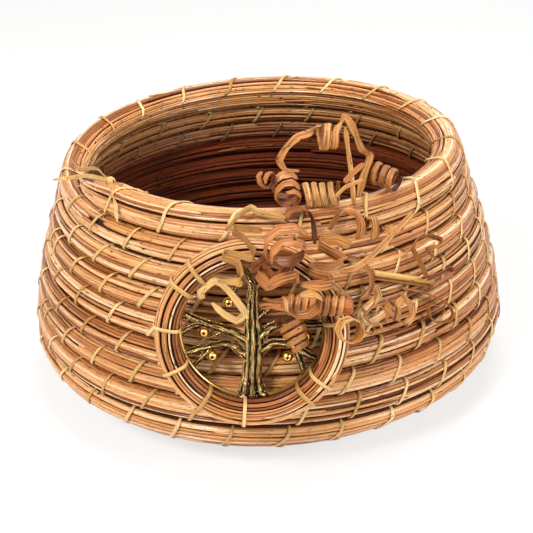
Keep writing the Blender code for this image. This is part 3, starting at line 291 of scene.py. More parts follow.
def make_materials():
    """Every finish of the object."""
    return {
        # Split stems under clear varnish: golden brown, some red brown, glossy along the top of each stem
        "varnished_stems": fibre_material(
            "varnished_stems", ("#7a3c12", "#b06a30", "#cd8a4e", "#da9a5b", "#e6ad72", "#f6cfa4"), 0.36, 0.42, 0.80,
            # The inside tint is painted shade for the inside of the bowl
            "#3a1905", inside="#7c450c", split=0.9),
        # Stems under the outer ones, in shade and browner: their dark tones are painted shade
        "shaded_stems": fibre_material(
            "shaded_stems", ("#241004", "#3f1d09", "#5c3012", "#7c461d"), 0.60, 0.0, 0.55, "#1c0b03", inside="#7a4610"),
        # The bundle's heart, seen only as dark gaps between stems; its near-black tones are painted shade
        "bundle_heart_painted_shade": fibre_material("bundle_heart_painted_shade", ("#2c1205", "#45210a", "#5f3413"), 0.9, 0.0, 0.4, "#1d0c03"),
        # Raffia: pale straw strips, flat and satin
        "raffia": fibre_material("raffia", ("#9a6a2b", "#bd8f4e", "#d2aa6b", "#e6c78f"), 0.42, 0.25, 0.60, "#7a5424",
                                 # The inside tint is painted shade for the stitches inside the bowl
                                 inside="#5a3414"),
        # Dried tendrils under varnish in three tones
        "tan_tendril": fibre_material(
            "tan_tendril", ("#461d07", "#94562a", "#b57338", "#d29a55", "#fadfb4"), 0.36, 0.22, 1.05, "#240d03",
            groove=0.85),
        "brown_tendril": fibre_material(
            "brown_tendril", ("#3c1806", "#83441d", "#a8602e", "#c07c42", "#efc08c"), 0.42, 0.14, 1.05, "#1e0b02",
            groove=0.90),
        "pale_tendril": fibre_material(
            "pale_tendril", ("#7c4817", "#b47d3a", "#d6a661", "#efcd96"), 0.34, 0.32, 0.65, "#55300e", groove=0.75),
        # Cast brass with black patina
        "blackened_brass": brass_material("blackened_brass", "#efb44e", "#040302", 0.24, bark=True),
        # Polished brass beads and the tree's ring, with painted highlight and shade on the ring
        "bright_brass": brass_material("bright_brass", "#edc06a", "#7a5420", 0.16, bark=False)}


# Meshes

def add_piece(name, vertices, faces, material, grain=None, relief=None, smooth=True):
    """A mesh piece on the frame, with its attributes for the material's patterns."""
    mesh = bpy.data.meshes.new(name)
    mesh.from_pydata([tuple(vertex) for vertex in vertices], [], faces)
    work = bmesh.new()
    work.from_mesh(mesh)
    bmesh.ops.recalc_face_normals(work, faces=work.faces)
    work.to_mesh(mesh)
    work.free()
    if smooth:
        mesh.shade_smooth()
    if grain is not None:
        store = mesh.attributes.new("grain", "FLOAT_VECTOR", "POINT")
        store.data.foreach_set("vector", np.array(grain, dtype=np.float32).ravel())
    if relief is not None:
        store = mesh.attributes.new("relief", "FLOAT", "POINT")
        store.data.foreach_set("value", np.array(relief, dtype=np.float32))
    mesh.materials.append(material)
    piece = bpy.data.objects.new(name, mesh)
    SCENE.collection.objects.link(piece)
    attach(piece, "root")
    return piece


def bake(name, source):
    """Turns an object with a Geometry Nodes modifier into a plain mesh piece and removes the object."""
    mesh = bpy.data.meshes.new_from_object(source.evaluated_get(bpy.context.evaluated_depsgraph_get()))
    mesh.name = name
    for key in ("outward", "upward", "turn", "stem", "share", "along", "shade", "around", "fibre", "facing", "size"):
        if key in mesh.attributes:
            mesh.attributes.remove(mesh.attributes[key])
    piece = bpy.data.objects.new(name, mesh)
    SCENE.collection.objects.link(piece)
    bpy.data.objects.remove(source)
    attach(piece, "root")
    return piece


def skin(sections, closed=False, capped=True):
    """Faces over a row of sections, each a ring of as many points."""
    sides = len(sections[0])
    count = len(sections)
    vertices = [point for section in sections for point in section]
    faces = []
    for ring in range(count if closed else count - 1):
        here = ring * sides
        there = (ring + 1) % count * sides
        for side in range(sides):
            after = (side + 1) % sides
            faces.append((here + side, here + after, there + after, there + side))
    if capped and not closed:
        faces.append(tuple(reversed(range(sides))))
        faces.append(tuple(range((count - 1) * sides, count * sides)))
    return vertices, faces


def smooth_path(points, steps, straight=0.0):
    """A curve through points, with steps between each two; straight is how far it keeps to straight runs."""
    ends = [points[0] * 2 - points[1], *points, points[-1] * 2 - points[-2]]
    path = []
    for number in range(1, len(ends) - 2):
        before, start, end, after = ends[number - 1:number + 3]
        for step in range(steps):
            t = step / steps
            curved = 0.5 * (2 * start + (end - before) * t + (2 * before - 5 * start + 4 * end - after) * t * t
                            + (3 * start - before - 3 * end + after) * t ** 3)
            path.append(curved.lerp(start.lerp(end, t), straight))
    path.append(points[-1])
    return path


def path_tangents(points):
    """The direction of a path at each of its points."""
    last = len(points) - 1
    return [(points[min(i + 1, last)] - points[max(i - 1, 0)]).normalized() for i in range(last + 1)]


# The coil

def wall_outline():
    """The middle of the coil as distance along it, radius, height and slope, from the centre outwards."""
    flat_height = COIL_DEPTH / 2
    belly_middle = BELLY_RADIUS - COIL_DEPTH / 2
    steps = np.linspace(0.0, 1.0, OUTLINE_STEPS + 1)[1:]
    turn = steps * math.pi / 2
    radius = np.concatenate([
        np.concatenate([[0.0], steps * BASE_FLAT_RADIUS]),
        BASE_FLAT_RADIUS + (belly_middle - BASE_FLAT_RADIUS) * np.sin(turn),
        belly_middle - (belly_middle - RIM_RADIUS) * steps ** WALL_CURVE_SHARE])
    height = np.concatenate([
        np.full(len(steps) + 1, flat_height),
        flat_height + (BELLY_HEIGHT - flat_height) * (1 - np.cos(turn)),
        BELLY_HEIGHT + (RIM_HEIGHT - BELLY_HEIGHT) * steps])
    along = np.concatenate([[0.0], np.cumsum(np.hypot(np.diff(radius), np.diff(height)))])
    slope = np.unwrap(np.arctan2(np.gradient(height), np.gradient(radius)))
    return along, radius, height, slope


OUTLINE = wall_outline()
OUTLINE_LENGTH = float(OUTLINE[0][-1])
ROW_HALF = (ROW_PITCH - ROW_GAP) / 2


def coil_place(back):
    """The coil's middle at a number of turns back from its end at the rim, and its half sizes as two vectors."""
    along, radius, height, slope = OUTLINE
    half_depth = COIL_DEPTH / 2
    half_row = ROW_HALF
    place = OUTLINE_LENGTH - ROW_PITCH * back
    if back < 1.0:
        swell = min(1.0, back / RIM_END_SWELL_TURNS_SHARE)
        shrink = min(1.0, (1.0 - back) / RIM_START_SWELL_TURNS_SHARE)
        low = TAPER_SHARE * RIM_THICKNESS / 2
        tapered = low + (RIM_THICKNESS / 2 - low) * swell
        half_row = tapered if back < 0.5 else ROW_HALF + (RIM_THICKNESS / 2 - ROW_HALF) * shrink
        half_depth = tapered if back < 0.5 else half_depth + (RIM_THICKNESS / 2 - half_depth) * shrink
        place = OUTLINE_LENGTH - ROW_PITCH * (back + 1.0) + ROW_HALF + ROW_GAP + half_row
    over = max(0.0, place - OUTLINE_LENGTH)
    angle = float(np.interp(place, along, slope))
    middle_radius = float(np.interp(place, along, radius)) + over * math.cos(angle)
    middle_height = float(np.interp(place, along, height)) + over * math.sin(angle)
    turn = RIM_END_ANGLE + 2 * math.pi * back
    radial = Vector((math.cos(turn), math.sin(turn), 0.0))
    up_wall = radial * math.cos(angle) + UP * math.sin(angle)
    outward = radial * math.sin(angle) - UP * math.cos(angle)
    return radial * middle_radius + UP * middle_height, outward * half_depth, up_wall * half_row


def coil_route(first_back, last_back, step):
    """Places along a stretch of the coil, each with its half sizes."""
    places = []
    back = first_back
    while back < last_back:
        places.append(coil_place(back))
        back += step / (2 * math.pi * max(places[-1][0].xy.length, step))
    places.append(coil_place(last_back))
    return places


def hoop_route(centre, radius, offset, half_width, half_depth, step):
    """Places round a hoop and a little past its start, each with its half sizes."""
    count = math.ceil(2 * math.pi * radius / step)
    places = []
    for number in range(math.ceil(count * (1 + HOOP_OVERLAP_TURNS)) + 1):
        turn = 2 * math.pi * number / count
        radial = HOOP_RIGHT * math.cos(turn) + HOOP_UP * math.sin(turn)
        places.append((centre + radial * radius + HOOP_OUT * offset, HOOP_OUT * half_depth, radial * half_width))
    return places


# Stems, swept along guide lines by Geometry Nodes

def squared_share(tree, turn, way):
    """The cosine or sine of a turn with its size raised to the bundle's squareness, which flattens the bundle."""
    wave = add_node(tree, "ShaderNodeMath", {0: turn.outputs[0]}, operation=way)
    size = add_node(tree, "ShaderNodeMath", {0: wave.outputs[0]}, operation="ABSOLUTE")
    size = add_node(tree, "ShaderNodeMath", {0: size.outputs[0], 1: SQUARENESS}, operation="POWER")
    sign = add_node(tree, "ShaderNodeMath", {0: wave.outputs[0]}, operation="SIGN")
    return add_node(tree, "ShaderNodeMath", {0: size.outputs[0], 1: sign.outputs[0]}, operation="MULTIPLY")


def squared(turn):
    """The same share as a pair of numbers, out and up."""
    return [math.copysign(abs(wave) ** SQUARENESS, wave) for wave in (math.cos(turn), math.sin(turn))]


def even_turns(count):
    """Turns that space a number of stems evenly round a squared bundle."""
    turns = np.linspace(0.0, 2 * math.pi, 721)
    places = np.array([squared(turn) for turn in turns])
    lengths = np.concatenate([[0.0], np.cumsum(np.linalg.norm(np.diff(places, axis=0), axis=1))])
    return [float(np.interp(lengths[-1] * (number + 0.5) / count, lengths, turns)) for number in range(count)]


def stem_tree():
    """Moves guide lines out to the bundle's skin with a slow wander, and sweeps a round stem along each."""
    tree = bpy.data.node_groups.new("stem_bundle", "GeometryNodeTree")
    face = tree.interface
    face.new_socket("Guides", in_out="INPUT", socket_type="NodeSocketGeometry")
    face.new_socket("Stem radius", in_out="INPUT", socket_type="NodeSocketFloat")
    face.new_socket("Wander", in_out="INPUT", socket_type="NodeSocketFloat")
    face.new_socket("Unevenness", in_out="INPUT", socket_type="NodeSocketFloat")
    face.new_socket("Loose ends", in_out="INPUT", socket_type="NodeSocketFloat")
    face.new_socket("Thinnest", in_out="INPUT", socket_type="NodeSocketFloat")
    face.new_socket("Thickest", in_out="INPUT", socket_type="NodeSocketFloat")
    face.new_socket("Sides", in_out="INPUT", socket_type="NodeSocketInt")
    face.new_socket("Seed", in_out="INPUT", socket_type="NodeSocketInt")
    face.new_socket("Material", in_out="INPUT", socket_type="NodeSocketMaterial")
    face.new_socket("Stems", in_out="OUTPUT", socket_type="NodeSocketGeometry")
    start = add_node(tree, "NodeGroupInput")
    given = start.outputs
    outward = add_node(tree, "GeometryNodeInputNamedAttribute", {0: "outward"}, data_type="FLOAT_VECTOR")
    upward = add_node(tree, "GeometryNodeInputNamedAttribute", {0: "upward"}, data_type="FLOAT_VECTOR")
    turn = add_node(tree, "GeometryNodeInputNamedAttribute", {0: "turn"}, data_type="FLOAT")
    stem = add_node(tree, "GeometryNodeInputNamedAttribute", {0: "stem"}, data_type="INT")
    share = add_node(tree, "GeometryNodeInputNamedAttribute", {0: "share"}, data_type="FLOAT")
    along = add_node(tree, "GeometryNodeInputNamedAttribute", {0: "along"}, data_type="FLOAT")
    # Slow noise along each stem, about 70 mm from wave to wave
    pace = add_node(tree, "ShaderNodeMath", {0: along.outputs[0], 1: 14.0}, operation="MULTIPLY")
    row = add_node(tree, "ShaderNodeMath", {0: stem.outputs[0], 1: 3.7}, operation="MULTIPLY")
    where = add_node(tree, "ShaderNodeCombineXYZ", {0: pace.outputs[0], 1: row.outputs[0], 2: given["Seed"]})
    waves = add_node(tree, "ShaderNodeTexNoise", {"Vector": where.outputs[0], "Scale": 1.0, "Detail": 1.5})
    wave_parts = add_node(tree, "ShaderNodeSeparateXYZ", {0: waves.outputs["Color"]})
    swing = add_node(tree, "ShaderNodeMath", {0: wave_parts.outputs[0], 1: 0.5}, operation="SUBTRACT")
    swing = add_node(tree, "ShaderNodeMath", {0: swing.outputs[0], 1: given["Wander"], 2: turn.outputs[0]},
                     operation="MULTIPLY_ADD")
    # A stem starts tucked in under its neighbours, and some of them stand off at the end
    tucked = add_node(tree, "ShaderNodeMapRange", {0: share.outputs[0], 1: 0.0, 2: 0.10, 3: -0.20, 4: 0.0},
                      interpolation_type="SMOOTHSTEP")
    stands_off = add_node(tree, "FunctionNodeRandomValue", {"ID": stem.outputs[0], "Seed": given["Seed"], 2: -1.0, 3: 1.0})
    stands_off = add_node(tree, "ShaderNodeMath", {0: stands_off.outputs[1], 1: 0.0}, operation="MAXIMUM")
    near_end = add_node(tree, "ShaderNodeMapRange", {0: share.outputs[0], 1: 0.93, 2: 1.0}, interpolation_type="SMOOTHSTEP")
    lift = add_node(tree, "ShaderNodeMath", {0: near_end.outputs[0], 1: stands_off.outputs[0]}, operation="MULTIPLY")
    lift = add_node(tree, "ShaderNodeMath", {0: lift.outputs[0], 1: given["Loose ends"], 2: tucked.outputs[0]},
                    operation="MULTIPLY_ADD")
    uneven = add_node(tree, "ShaderNodeMath", {0: wave_parts.outputs[1], 1: 0.5}, operation="SUBTRACT")
    reach = add_node(tree, "ShaderNodeMath", {0: uneven.outputs[0], 1: given["Unevenness"], 2: lift.outputs[0]},
                     operation="MULTIPLY_ADD")
    reach = add_node(tree, "ShaderNodeMath", {0: reach.outputs[0], 1: 1.0}, operation="ADD")
    # Thick stems lie deeper, so that the bundle's face stays even
    size = add_node(tree, "FunctionNodeRandomValue", {"ID": stem.outputs[0], "Seed": given["Seed"],
                                                      2: given["Thinnest"], 3: given["Thickest"]})
    reach = add_node(tree, "ShaderNodeMath", {0: size.outputs[1], 1: -0.17, 2: reach.outputs[0]},
                     operation="MULTIPLY_ADD")
    reach = add_node(tree, "ShaderNodeMath", {0: reach.outputs[0], 1: 0.17}, operation="ADD")
    cosine = squared_share(tree, swing, "COSINE")
    sine = squared_share(tree, swing, "SINE")
    out_share = add_node(tree, "ShaderNodeMath", {0: cosine.outputs[0], 1: reach.outputs[0]}, operation="MULTIPLY")
    up_share = add_node(tree, "ShaderNodeMath", {0: sine.outputs[0], 1: reach.outputs[0]}, operation="MULTIPLY")
    out_part = add_node(tree, "ShaderNodeVectorMath", {0: outward.outputs[0], "Scale": out_share.outputs[0]},
                        operation="SCALE")
    up_part = add_node(tree, "ShaderNodeVectorMath", {0: upward.outputs[0], "Scale": up_share.outputs[0]},
                       operation="SCALE")
    offset = add_node(tree, "ShaderNodeVectorMath", {0: out_part.outputs[0], 1: up_part.outputs[0]}, operation="ADD")
    moved = add_node(tree, "GeometryNodeSetPosition", {"Geometry": given["Guides"], "Offset": offset.outputs[0]})
    lines = add_node(tree, "GeometryNodeMeshToCurve", {0: moved.outputs[0]})
    # Stems differ in thickness and thin out at both ends
    thin_start = add_node(tree, "ShaderNodeMapRange", {0: share.outputs[0], 1: 0.0, 2: 0.04, 3: 0.45, 4: 1.0})
    thin_end = add_node(tree, "ShaderNodeMapRange", {0: share.outputs[0], 1: 0.96, 2: 1.0, 3: 1.0, 4: 0.5})
    size = add_node(tree, "ShaderNodeMath", {0: size.outputs[1], 1: thin_start.outputs[0]}, operation="MULTIPLY")
    size = add_node(tree, "ShaderNodeMath", {0: size.outputs[0], 1: thin_end.outputs[0]}, operation="MULTIPLY")
    # Swellings along a stem, 15 mm from one to the next
    quick_pace = add_node(tree, "ShaderNodeMath", {0: along.outputs[0], 1: 65.0}, operation="MULTIPLY")
    quick_place = add_node(tree, "ShaderNodeCombineXYZ", {0: quick_pace.outputs[0], 1: row.outputs[0]})
    swelling = add_node(tree, "ShaderNodeTexNoise", {"Vector": quick_place.outputs[0], "Scale": 1.0, "Detail": 1.0})
    swelling = add_node(tree, "ShaderNodeMath", {0: swelling.outputs["Fac"], 1: 0.5, 2: 0.75}, operation="MULTIPLY_ADD")
    size = add_node(tree, "ShaderNodeMath", {0: size.outputs[0], 1: swelling.outputs[0]}, operation="MULTIPLY")
    # No stem reaches below the floor
    spot = add_node(tree, "GeometryNodeInputPosition")
    spot_parts = add_node(tree, "ShaderNodeSeparateXYZ", {0: spot.outputs[0]})
    lowest = add_node(tree, "ShaderNodeMath", {0: size.outputs[0], 1: given["Stem radius"]}, operation="MULTIPLY")
    height = add_node(tree, "ShaderNodeMath", {0: spot_parts.outputs[2], 1: lowest.outputs[0]}, operation="MAXIMUM")
    lifted = add_node(tree, "ShaderNodeCombineXYZ", {0: spot_parts.outputs[0], 1: spot_parts.outputs[1],
                                                     2: height.outputs[0]})
    lines = add_node(tree, "GeometryNodeSetPosition", {"Geometry": lines.outputs[0], "Position": lifted.outputs[0]})
    shade = add_node(tree, "FunctionNodeRandomValue", {"ID": stem.outputs[0], "Seed": 7, 2: 0.0, 3: 1.0})
    lines = add_node(tree, "GeometryNodeStoreNamedAttribute", {"Geometry": lines.outputs[0], "Name": "shade",
                                                               "Value": shade.outputs[1]}, data_type="FLOAT")
    # Painted shade: the side turned into the bowl is painted darker with depth, from just under the rim down
    turned_in = add_node(tree, "ShaderNodeMapRange", {0: out_share.outputs[0], 1: -0.7, 2: 0.3, 3: 1.0, 4: 0.0})
    spot = add_node(tree, "GeometryNodeInputPosition")
    spot_parts = add_node(tree, "ShaderNodeSeparateXYZ", {0: spot.outputs[0]})
    depth = add_node(tree, "ShaderNodeMapRange", {0: spot_parts.outputs[2], 1: PAINTED_SHADE_FULL_HEIGHT,
                                                  2: PAINTED_SHADE_START_HEIGHT, 3: 1.0, 4: 0.0})
    painted_bowl_shade = add_node(tree, "ShaderNodeMath", {0: turned_in.outputs[0], 1: depth.outputs[0]}, operation="MULTIPLY")
    # and the painted shade is darker in the seams between rows than along the middle of a row
    seam = add_node(tree, "ShaderNodeMath", {0: up_share.outputs[0], 1: up_share.outputs[0]}, operation="MULTIPLY")
    seam = add_node(tree, "ShaderNodeMath", {0: seam.outputs[0], 1: 0.30, 2: 0.94}, operation="MULTIPLY_ADD")
    painted_bowl_shade = add_node(tree, "ShaderNodeMath", {0: painted_bowl_shade.outputs[0], 1: seam.outputs[0]}, operation="MULTIPLY")
    lines = add_node(tree, "GeometryNodeStoreNamedAttribute", {"Geometry": lines.outputs[0], "Name": "painted_bowl_shade",
                                                               "Value": painted_bowl_shade.outputs[0]}, data_type="FLOAT")
    ring = add_node(tree, "GeometryNodeCurvePrimitiveCircle", {"Resolution": given["Sides"], "Radius": given["Stem radius"]})
    round_share = add_node(tree, "GeometryNodeSplineParameter")
    ring = add_node(tree, "GeometryNodeStoreNamedAttribute", {"Geometry": ring.outputs[0], "Name": "around",
                                                              "Value": round_share.outputs[0]}, data_type="FLOAT")
    swept = add_node(tree, "GeometryNodeCurveToMesh", {"Curve": lines.outputs[0], "Profile Curve": ring.outputs[0],
                                                       "Scale": size.outputs[0], "Fill Caps": True})
    around = add_node(tree, "GeometryNodeInputNamedAttribute", {0: "around"}, data_type="FLOAT")
    kept_shade = add_node(tree, "GeometryNodeInputNamedAttribute", {0: "shade"}, data_type="FLOAT")
    grain = add_node(tree, "ShaderNodeCombineXYZ", {0: along.outputs[0], 1: around.outputs[0], 2: kept_shade.outputs[0]})
    stored = add_node(tree, "GeometryNodeStoreNamedAttribute", {"Geometry": swept.outputs[0], "Name": "grain",
                                                                "Value": grain.outputs[0]}, data_type="FLOAT_VECTOR")
    smooth = add_node(tree, "GeometryNodeSetShadeSmooth", {"Geometry": stored.outputs[0]})
    real = add_node(tree, "GeometryNodeRealizeInstances", {0: smooth.outputs[0]})
    finished = add_node(tree, "GeometryNodeSetMaterial", {"Geometry": real.outputs[0], "Material": given["Material"]})
    add_node(tree, "NodeGroupOutput", {0: finished.outputs[0]})
    return tree


def set_inputs(modifier, values):
    """Sets a modifier's inputs by name, through each socket's identifier."""
    identifiers = {item.name: item.identifier for item in modifier.node_group.interface.items_tree
                   if item.in_out == "INPUT"}
    for name, value in values.items():
        modifier[identifiers[name]] = value


def guide_lines(route, stems, stem_radius, stem_length, seed, stagger):
    """Edges along a bundle's middle, one line for each length of stem, with what the stem tree reads on them."""
    chooser = random.Random(seed)
    points = [place[0] for place in route]
    distances = [0.0]
    for before, here in zip(points, points[1:]):
        distances.append(distances[-1] + (here - before).length)
    vertices, edges = [], []
    values = {"outward": [], "upward": [], "turn": [], "stem": [], "share": [], "along": []}
    stem_number = seed * 1000
    for strand_turn in even_turns(stems):
        # Each strand starts and ends at a station of its own, up to the stagger from the bundle's ends
        number = round(chooser.uniform(0, stagger))
        strand_first = number
        strand_last = len(points) - 1 - round(chooser.uniform(0, stagger))
        ends_at = distances[number] + chooser.uniform(0.1, 1.0) * stem_length
        while number < strand_last - 1:
            first = max(number - STEM_OVERLAP_STATIONS, strand_first)
            stem_number += 1
            turn = strand_turn + chooser.uniform(-0.4, 0.4) * 2 * math.pi / stems
            while number < strand_last and distances[number] < ends_at:
                number += 1
            number = max(number, min(first + 3, strand_last))
            ends_at = distances[number] + stem_length * chooser.uniform(0.75, 1.3)
            for station in range(first, number + 1):
                point, outward, upward = route[station]
                if station > first:
                    edges.append((len(vertices) - 1, len(vertices)))
                vertices.append(tuple(point))
                inset = 1 - stem_radius / outward.length
                values["outward"].append(tuple(outward * inset))
                values["upward"].append(tuple(upward * (1 - stem_radius / upward.length)))
                values["turn"].append(turn)
                values["stem"].append(stem_number)
                values["share"].append((distances[station] - distances[first])
                                       / max(distances[number] - distances[first], stem_radius))
                values["along"].append(distances[station])
    return vertices, edges, values


def add_stems(name, tree, route, stems, stem_radius, material, seed, wander=0.34, unevenness=0.16, loose_ends=0.30,
              sides=6, stem_length=STEM_LENGTH, stagger=0, thinnest=0.6, thickest=1.5):
    """A bundle's stems as one piece."""
    vertices, edges, values = guide_lines(route, stems, stem_radius, stem_length, seed, stagger)
    mesh = bpy.data.meshes.new(name + "_guides")
    mesh.from_pydata(vertices, edges, [])
    for key, kind, field in (("outward", "FLOAT_VECTOR", "vector"), ("upward", "FLOAT_VECTOR", "vector"),
                             ("turn", "FLOAT", "value"), ("stem", "INT", "value"), ("share", "FLOAT", "value"),
                             ("along", "FLOAT", "value")):
        store = mesh.attributes.new(key, kind, "POINT")
        store.data.foreach_set(field, np.array(values[key]).ravel())
    source = bpy.data.objects.new(name + "_guides", mesh)
    SCENE.collection.objects.link(source)
    modifier = source.modifiers.new("stems", "NODES")
    modifier.node_group = tree
    set_inputs(modifier, {"Stem radius": stem_radius, "Wander": wander, "Unevenness": unevenness,
                          "Loose ends": loose_ends, "Thinnest": thinnest, "Thickest": thickest, "Sides": sides,
                          "Seed": seed, "Material": material})
    return bake(name, source)


def add_heart(name, route, share, material, seam_share=None):
    """The heart of a bundle, a plain tube inside its stems whose dark material is painted shade; seam_share is its
    reach towards the next row.
    """
    sections, grain = [], []
    sides = 12
    for number, (point, outward, upward) in enumerate(route):
        ring = []
        for side in range(sides):
            out_share, up_share = squared(2 * math.pi * side / sides)
            ring.append(point + outward * out_share * share + upward * up_share * (seam_share or share))
            grain.append((number * STEM_STEP, side / sides, 0.4))
        sections.append(ring)
    vertices, faces = skin(sections)
    return add_piece(name, vertices, faces, material, grain=grain)


# Raffia stitches, each a strap over a bundle, set by Geometry Nodes

def strap_tree():
    """Bends a thin slab over a bundle of unit half sizes, and sets one on each guide point."""
    tree = bpy.data.node_groups.new("raffia_straps", "GeometryNodeTree")
    face = tree.interface
    face.new_socket("Places", in_out="INPUT", socket_type="NodeSocketGeometry")
    face.new_socket("Width", in_out="INPUT", socket_type="NodeSocketFloat")
    face.new_socket("Slant", in_out="INPUT", socket_type="NodeSocketFloat")
    face.new_socket("Slant over the top", in_out="INPUT", socket_type="NodeSocketFloat")
    face.new_socket("Reach", in_out="INPUT", socket_type="NodeSocketFloat")
    face.new_socket("Half turn", in_out="INPUT", socket_type="NodeSocketFloat")
    face.new_socket("Thickness share", in_out="INPUT", socket_type="NodeSocketFloat")
    face.new_socket("Stations", in_out="INPUT", socket_type="NodeSocketInt")
    face.new_socket("Material", in_out="INPUT", socket_type="NodeSocketMaterial")
    face.new_socket("Straps", in_out="OUTPUT", socket_type="NodeSocketGeometry")
    given = add_node(tree, "NodeGroupInput").outputs
    slab = add_node(tree, "GeometryNodeMeshCube", {"Size": (2.0, 1.0, 2.0), "Vertices X": 5, "Vertices Y": 2,
                                                   "Vertices Z": given["Stations"]})
    place = add_node(tree, "GeometryNodeInputPosition")
    parts = add_node(tree, "ShaderNodeSeparateXYZ", {0: place.outputs[0]})
    across, through, along = parts.outputs
    # The slab's length runs round the bundle and its thickness outwards; its middle is crowned
    turn = add_node(tree, "ShaderNodeMath", {0: along, 1: given["Half turn"]}, operation="MULTIPLY")
    square = add_node(tree, "ShaderNodeMath", {0: across, 1: across}, operation="MULTIPLY")
    crown = add_node(tree, "ShaderNodeMath", {0: square.outputs[0], 1: -0.55, 2: 1.0}, operation="MULTIPLY_ADD")
    raised = add_node(tree, "ShaderNodeMath", {0: through, 1: 0.5}, operation="ADD")
    raised = add_node(tree, "ShaderNodeMath", {0: raised.outputs[0], 1: given["Thickness share"]},
                      operation="MULTIPLY")
    reach = add_node(tree, "ShaderNodeMath", {0: raised.outputs[0], 1: crown.outputs[0], 2: given["Reach"]},
                     operation="MULTIPLY_ADD")
    cosine = squared_share(tree, turn, "COSINE")
    sine = squared_share(tree, turn, "SINE")
    out = add_node(tree, "ShaderNodeMath", {0: cosine.outputs[0], 1: reach.outputs[0]}, operation="MULTIPLY")
    up = add_node(tree, "ShaderNodeMath", {0: sine.outputs[0], 1: reach.outputs[0]}, operation="MULTIPLY")
    # The strap narrows where it dives into the seams
    narrow = add_node(tree, "ShaderNodeMath", {0: along, 1: 4.0}, operation="POWER")
    narrow = add_node(tree, "ShaderNodeMath", {0: narrow.outputs[0], 1: -0.3, 2: 1.0}, operation="MULTIPLY_ADD")
    half_width = add_node(tree, "ShaderNodeMath", {0: given["Width"], 1: 0.5}, operation="MULTIPLY")
    half_width = add_node(tree, "ShaderNodeMath", {0: half_width.outputs[0], 1: narrow.outputs[0]},
                          operation="MULTIPLY")
    side = add_node(tree, "ShaderNodeMath", {0: across, 1: half_width.outputs[0]}, operation="MULTIPLY")
    half_slant = add_node(tree, "ShaderNodeMath", {0: given["Slant"], 1: 0.5}, operation="MULTIPLY")
    # A wall stitch leans with its height and dives straight in; a rim stitch leans on over the top
    lean = add_node(tree, "ShaderNodeMix", {0: given["Slant over the top"], 2: sine.outputs[0], 3: along})
    lean = add_node(tree, "ShaderNodeMath", {0: lean.outputs[0], 1: half_slant.outputs[0]}, operation="MULTIPLY")
    side = add_node(tree, "ShaderNodeMath", {0: side.outputs[0], 1: lean.outputs[0]}, operation="SUBTRACT")
    bent_place = add_node(tree, "ShaderNodeCombineXYZ", {0: side.outputs[0], 1: out.outputs[0], 2: up.outputs[0]})
    fibre = add_node(tree, "ShaderNodeCombineXYZ", {0: turn.outputs[0], 1: across, 2: through})
    marked = add_node(tree, "GeometryNodeStoreNamedAttribute", {"Geometry": slab.outputs[0], "Name": "fibre",
                                                                "Value": fibre.outputs[0]}, data_type="FLOAT_VECTOR")
    strap = add_node(tree, "GeometryNodeSetPosition", {0: marked.outputs[0], "Position": bent_place.outputs[0]})
    facing = add_node(tree, "GeometryNodeInputNamedAttribute", {0: "facing"}, data_type="QUATERNION")
    size = add_node(tree, "GeometryNodeInputNamedAttribute", {0: "size"}, data_type="FLOAT_VECTOR")
    straps = add_node(tree, "GeometryNodeInstanceOnPoints",
                      {"Points": given["Places"], "Instance": strap.outputs[0], "Rotation": facing.outputs[0],
                       "Scale": size.outputs[0]})
    real = add_node(tree, "GeometryNodeRealizeInstances", {0: straps.outputs[0]})
    # 5 mm of fibre to a radian of bend, and each strap its own shade
    fibre = add_node(tree, "GeometryNodeInputNamedAttribute", {0: "fibre"}, data_type="FLOAT_VECTOR")
    shade = add_node(tree, "GeometryNodeInputNamedAttribute", {0: "shade"}, data_type="FLOAT")
    fibre_parts = add_node(tree, "ShaderNodeSeparateXYZ", {0: fibre.outputs[0]})
    length = add_node(tree, "ShaderNodeMath", {0: fibre_parts.outputs[0], 1: 0.005}, operation="MULTIPLY")
    share = add_node(tree, "ShaderNodeMath", {0: fibre_parts.outputs[1], 1: 0.25}, operation="MULTIPLY")
    grain = add_node(tree, "ShaderNodeCombineXYZ", {0: length.outputs[0], 1: share.outputs[0], 2: shade.outputs[0]})
    stored = add_node(tree, "GeometryNodeStoreNamedAttribute", {"Geometry": real.outputs[0], "Name": "grain",
                                                                "Value": grain.outputs[0]}, data_type="FLOAT_VECTOR")
    smooth = add_node(tree, "GeometryNodeSetShadeSmooth", {"Geometry": stored.outputs[0]})
    finished = add_node(tree, "GeometryNodeSetMaterial", {"Geometry": smooth.outputs[0],
                                                          "Material": given["Material"]})
    add_node(tree, "NodeGroupOutput", {0: finished.outputs[0]})
    return tree


